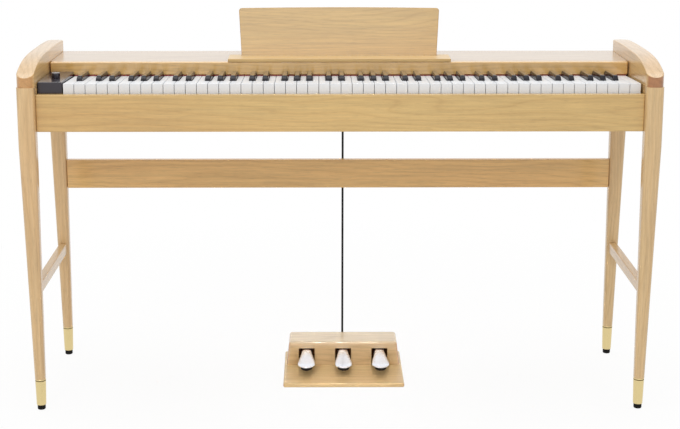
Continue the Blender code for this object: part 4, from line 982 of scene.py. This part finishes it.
def make_wood():
    sides = ("left", -1), ("right", 1)
    brass = metal("satin brass", srgb(226, 206, 152), 0.32, (1.0, 1.0, 0.05))
    # A darker brass painted into the ferrules' grooves as shade.
    groove = metal("brass with painted groove shade", srgb(120, 92, 48), 0.5)
    rubber = plastic("black rubber", srgb(16, 14, 13), 0.7, specular=0.2)
    seed = 1.3
    for end in ("front", "rear"):
        for hand, side in sides:
            make_leg(f"leg_{end}_{hand}", side, oak(f"oak leg {end} {hand}", "Z", seed, PALE_TINT))
            make_ferrule(f"ferrule_{end}_{hand}", brass, groove)
            make_glide(f"glide_{end}_{hand}", rubber)
            seed += 1.0
    for hand, side in sides:
        # Each arm and its case side take this side's painted light and shade tints.
        tint, ends, top = ARM_LIT_TINTS[hand]
        arm = oak(f"oak arm {hand}", "Y", seed, tint, end_tint=ends, painted_top_light=top)
        panel = oak(f"oak case side {hand}", "Y", seed + 0.3, tint, end_tint=PLAIN_TINT)
        make_cheek(f"cheek_{hand}", side, arm, panel)
        stretcher = oak(f"oak stretcher {hand}", "Y", seed + 0.5, PALE_TINT)
        board(f"side_stretcher_{hand}", stretcher, STRETCHER_EDGE)
        seed += 1.0
    wood = {}
    for number, (node, look) in enumerate(BOARD_LOOKS.items()):
        wood[node] = oak(f"oak {node.replace('_', ' ')}", "X", seed + number, **look)
    board("apron", wood["apron"], BOARD_EDGE, JOINT_GAP)
    board("fallboard", wood["fallboard"], FALLBOARD_EDGE)
    board("rear_stretcher", wood["rear_stretcher"], BOARD_EDGE, JOINT_GAP)
    board("pedal_base", wood["pedal_base"], BASE_EDGE)
    make_desk(wood["music_desk"])
    make_housing(wood["pedal_housing"], oak("oak with painted inside shade", "X", seed + 4.0, **INSIDE_SHADE))
    for node in ("lid", "music_ledge", "back_panel", "bottom_board"):
        paint([node], wood[node])


def make_rest():
    case_black = plastic("black case plastic", srgb(43, 37, 46), 0.20, coat=0.45, specular=0.40)
    # The knob's top is a lighter grey plastic, a painted highlight on its level faces.
    make_controls(case_black, plastic("knob top painted highlight plastic", srgb(96, 88, 88), 0.20, coat=1.0, specular=1.0))
    cord_black = plastic("black cord plastic", srgb(9, 9, 10), 0.5, specular=0.25)
    paint(["pedal_plug", "cord_relief"], cord_black)
    make_cord(cord_black)
    paint(["speaker_left", "speaker_right"], plastic("speaker paper", srgb(40, 40, 42), 0.8))
    paint(["key_frame", "pedal_axle"], metal("zinc-plated steel", srgb(190, 192, 196), 0.4))
    chrome = metal("satin chrome", srgb(243, 245, 252), 0.27)
    make_pedals(chrome, plastic("pedal rubber", srgb(26, 20, 17), 0.6, specular=0.2))
    paint(["felt_strip"], felt_cloth("red felt"))
    ivory = plastic("white key plastic", srgb(228, 230, 233), 0.40, mottle=0.01, specular=0.35)
    ebony = plastic("black key plastic", srgb(20, 16, 27), 0.24, specular=0.42)
    ebony_top = plastic("black key top plastic", srgb(24, 20, 22), 0.17, coat=1.0, specular=1.0)
    make_keys(ivory, ebony, ebony_top)


# Studio


def make_camera():
    data = bpy.data.cameras.new("camera")
    data.sensor_width = SENSOR
    data.lens = FOCAL_PIXELS / PHOTO_WIDTH * SENSOR
    data.shift_x, data.shift_y = CAMERA_SHIFT
    camera = bpy.data.objects.new("camera", data)
    camera.location = CAMERA_PLACE
    camera.rotation_euler = (math.pi / 2 - CAMERA_PITCH, 0.0, CAMERA_YAW)
    bpy.context.scene.collection.objects.link(camera)
    bpy.context.scene.camera = camera


def seen_directly(tree):
    """1 for camera, glossy and transmission rays, and 0 for the rays that light the object."""
    path = tree.nodes.new("ShaderNodeLightPath")
    total = path.outputs["Is Camera Ray"]
    for name in ("Is Glossy Ray", "Is Transmission Ray"):
        larger = tree.nodes.new("ShaderNodeMath")
        larger.operation = "MAXIMUM"
        tree.links.new(total, larger.inputs[0])
        tree.links.new(path.outputs[name], larger.inputs[1])
        total = larger.outputs[0]
    return total


def make_floor():
    """A pale floor: it lights the object as paper does, and is seen near white with its soft shadow."""
    half = FLOOR_HALF
    corners = [(-half, -half, 0), (half, -half, 0), (half, half, 0), (-half, half, 0)]
    mesh = bpy.data.meshes.new("floor")
    mesh.from_pydata(corners, [], [(0, 1, 2, 3)])
    floor = bpy.data.objects.new("floor", mesh)
    bpy.context.scene.collection.objects.link(floor)
    made = Nodes("floor")
    made.set(Base_Color=grey(0.90), Roughness=0.9, Specular_IOR_Level=0.0)
    tree = made.tree
    paper = made.add("ShaderNodeEmission")
    paper.inputs["Color"].default_value = grey(1.0)
    distance = made.add("ShaderNodeVectorMath", operation="LENGTH")
    made.link(made.place(), distance.inputs[0])
    away = made.math("MULTIPLY", distance.outputs["Value"], 1 / FLOOR_RAMP)
    share = made.ramp(away, [(0.25, grey(0.91)), (0.60, grey(1.0))])
    seen = made.math("MULTIPLY", share, seen_directly(tree))
    mix = made.add("ShaderNodeMixShader")
    made.link(seen, mix.inputs["Fac"])
    made.link(made.shader.outputs[0], mix.inputs[1])
    made.link(paper.outputs[0], mix.inputs[2])
    made.link(mix.outputs[0], tree.nodes["Material Output"].inputs["Surface"])
    mesh.materials.append(made.material)


def make_world():
    world = bpy.data.worlds.new("studio")
    world.use_nodes = True
    tree = world.node_tree
    background = tree.nodes["Background"]
    background.inputs["Color"].default_value = grey(1.0)
    background.inputs["Strength"].default_value = WORLD_LIGHT
    white = tree.nodes.new("ShaderNodeBackground")
    white.inputs["Color"].default_value = grey(1.0)
    white.inputs["Strength"].default_value = 1.0
    mix = tree.nodes.new("ShaderNodeMixShader")
    tree.links.new(seen_directly(tree), mix.inputs["Fac"])
    tree.links.new(background.outputs[0], mix.inputs[1])
    tree.links.new(white.outputs[0], mix.inputs[2])
    tree.links.new(mix.outputs[0], tree.nodes["World Output"].inputs["Surface"])
    bpy.context.scene.world = world


def make_lamp(name, place, target, size, power, spread):
    data = bpy.data.lights.new(name, "AREA")
    data.spread = math.radians(spread)
    data.shape = "RECTANGLE"
    data.size, data.size_y = size
    data.energy = power
    lamp = bpy.data.objects.new(name, data)
    lamp.location = place
    lamp.rotation_euler = (Vector(target) - Vector(place)).to_track_quat("-Z", "Y").to_euler()
    bpy.context.scene.collection.objects.link(lamp)


def main():
    bpy.context.scene.view_settings.view_transform = "Standard"
    make_camera()
    make_rest()
    make_wood()
    make_floor()
    make_world()
    for name, settings in LAMPS.items():
        make_lamp(name, *settings)


main()
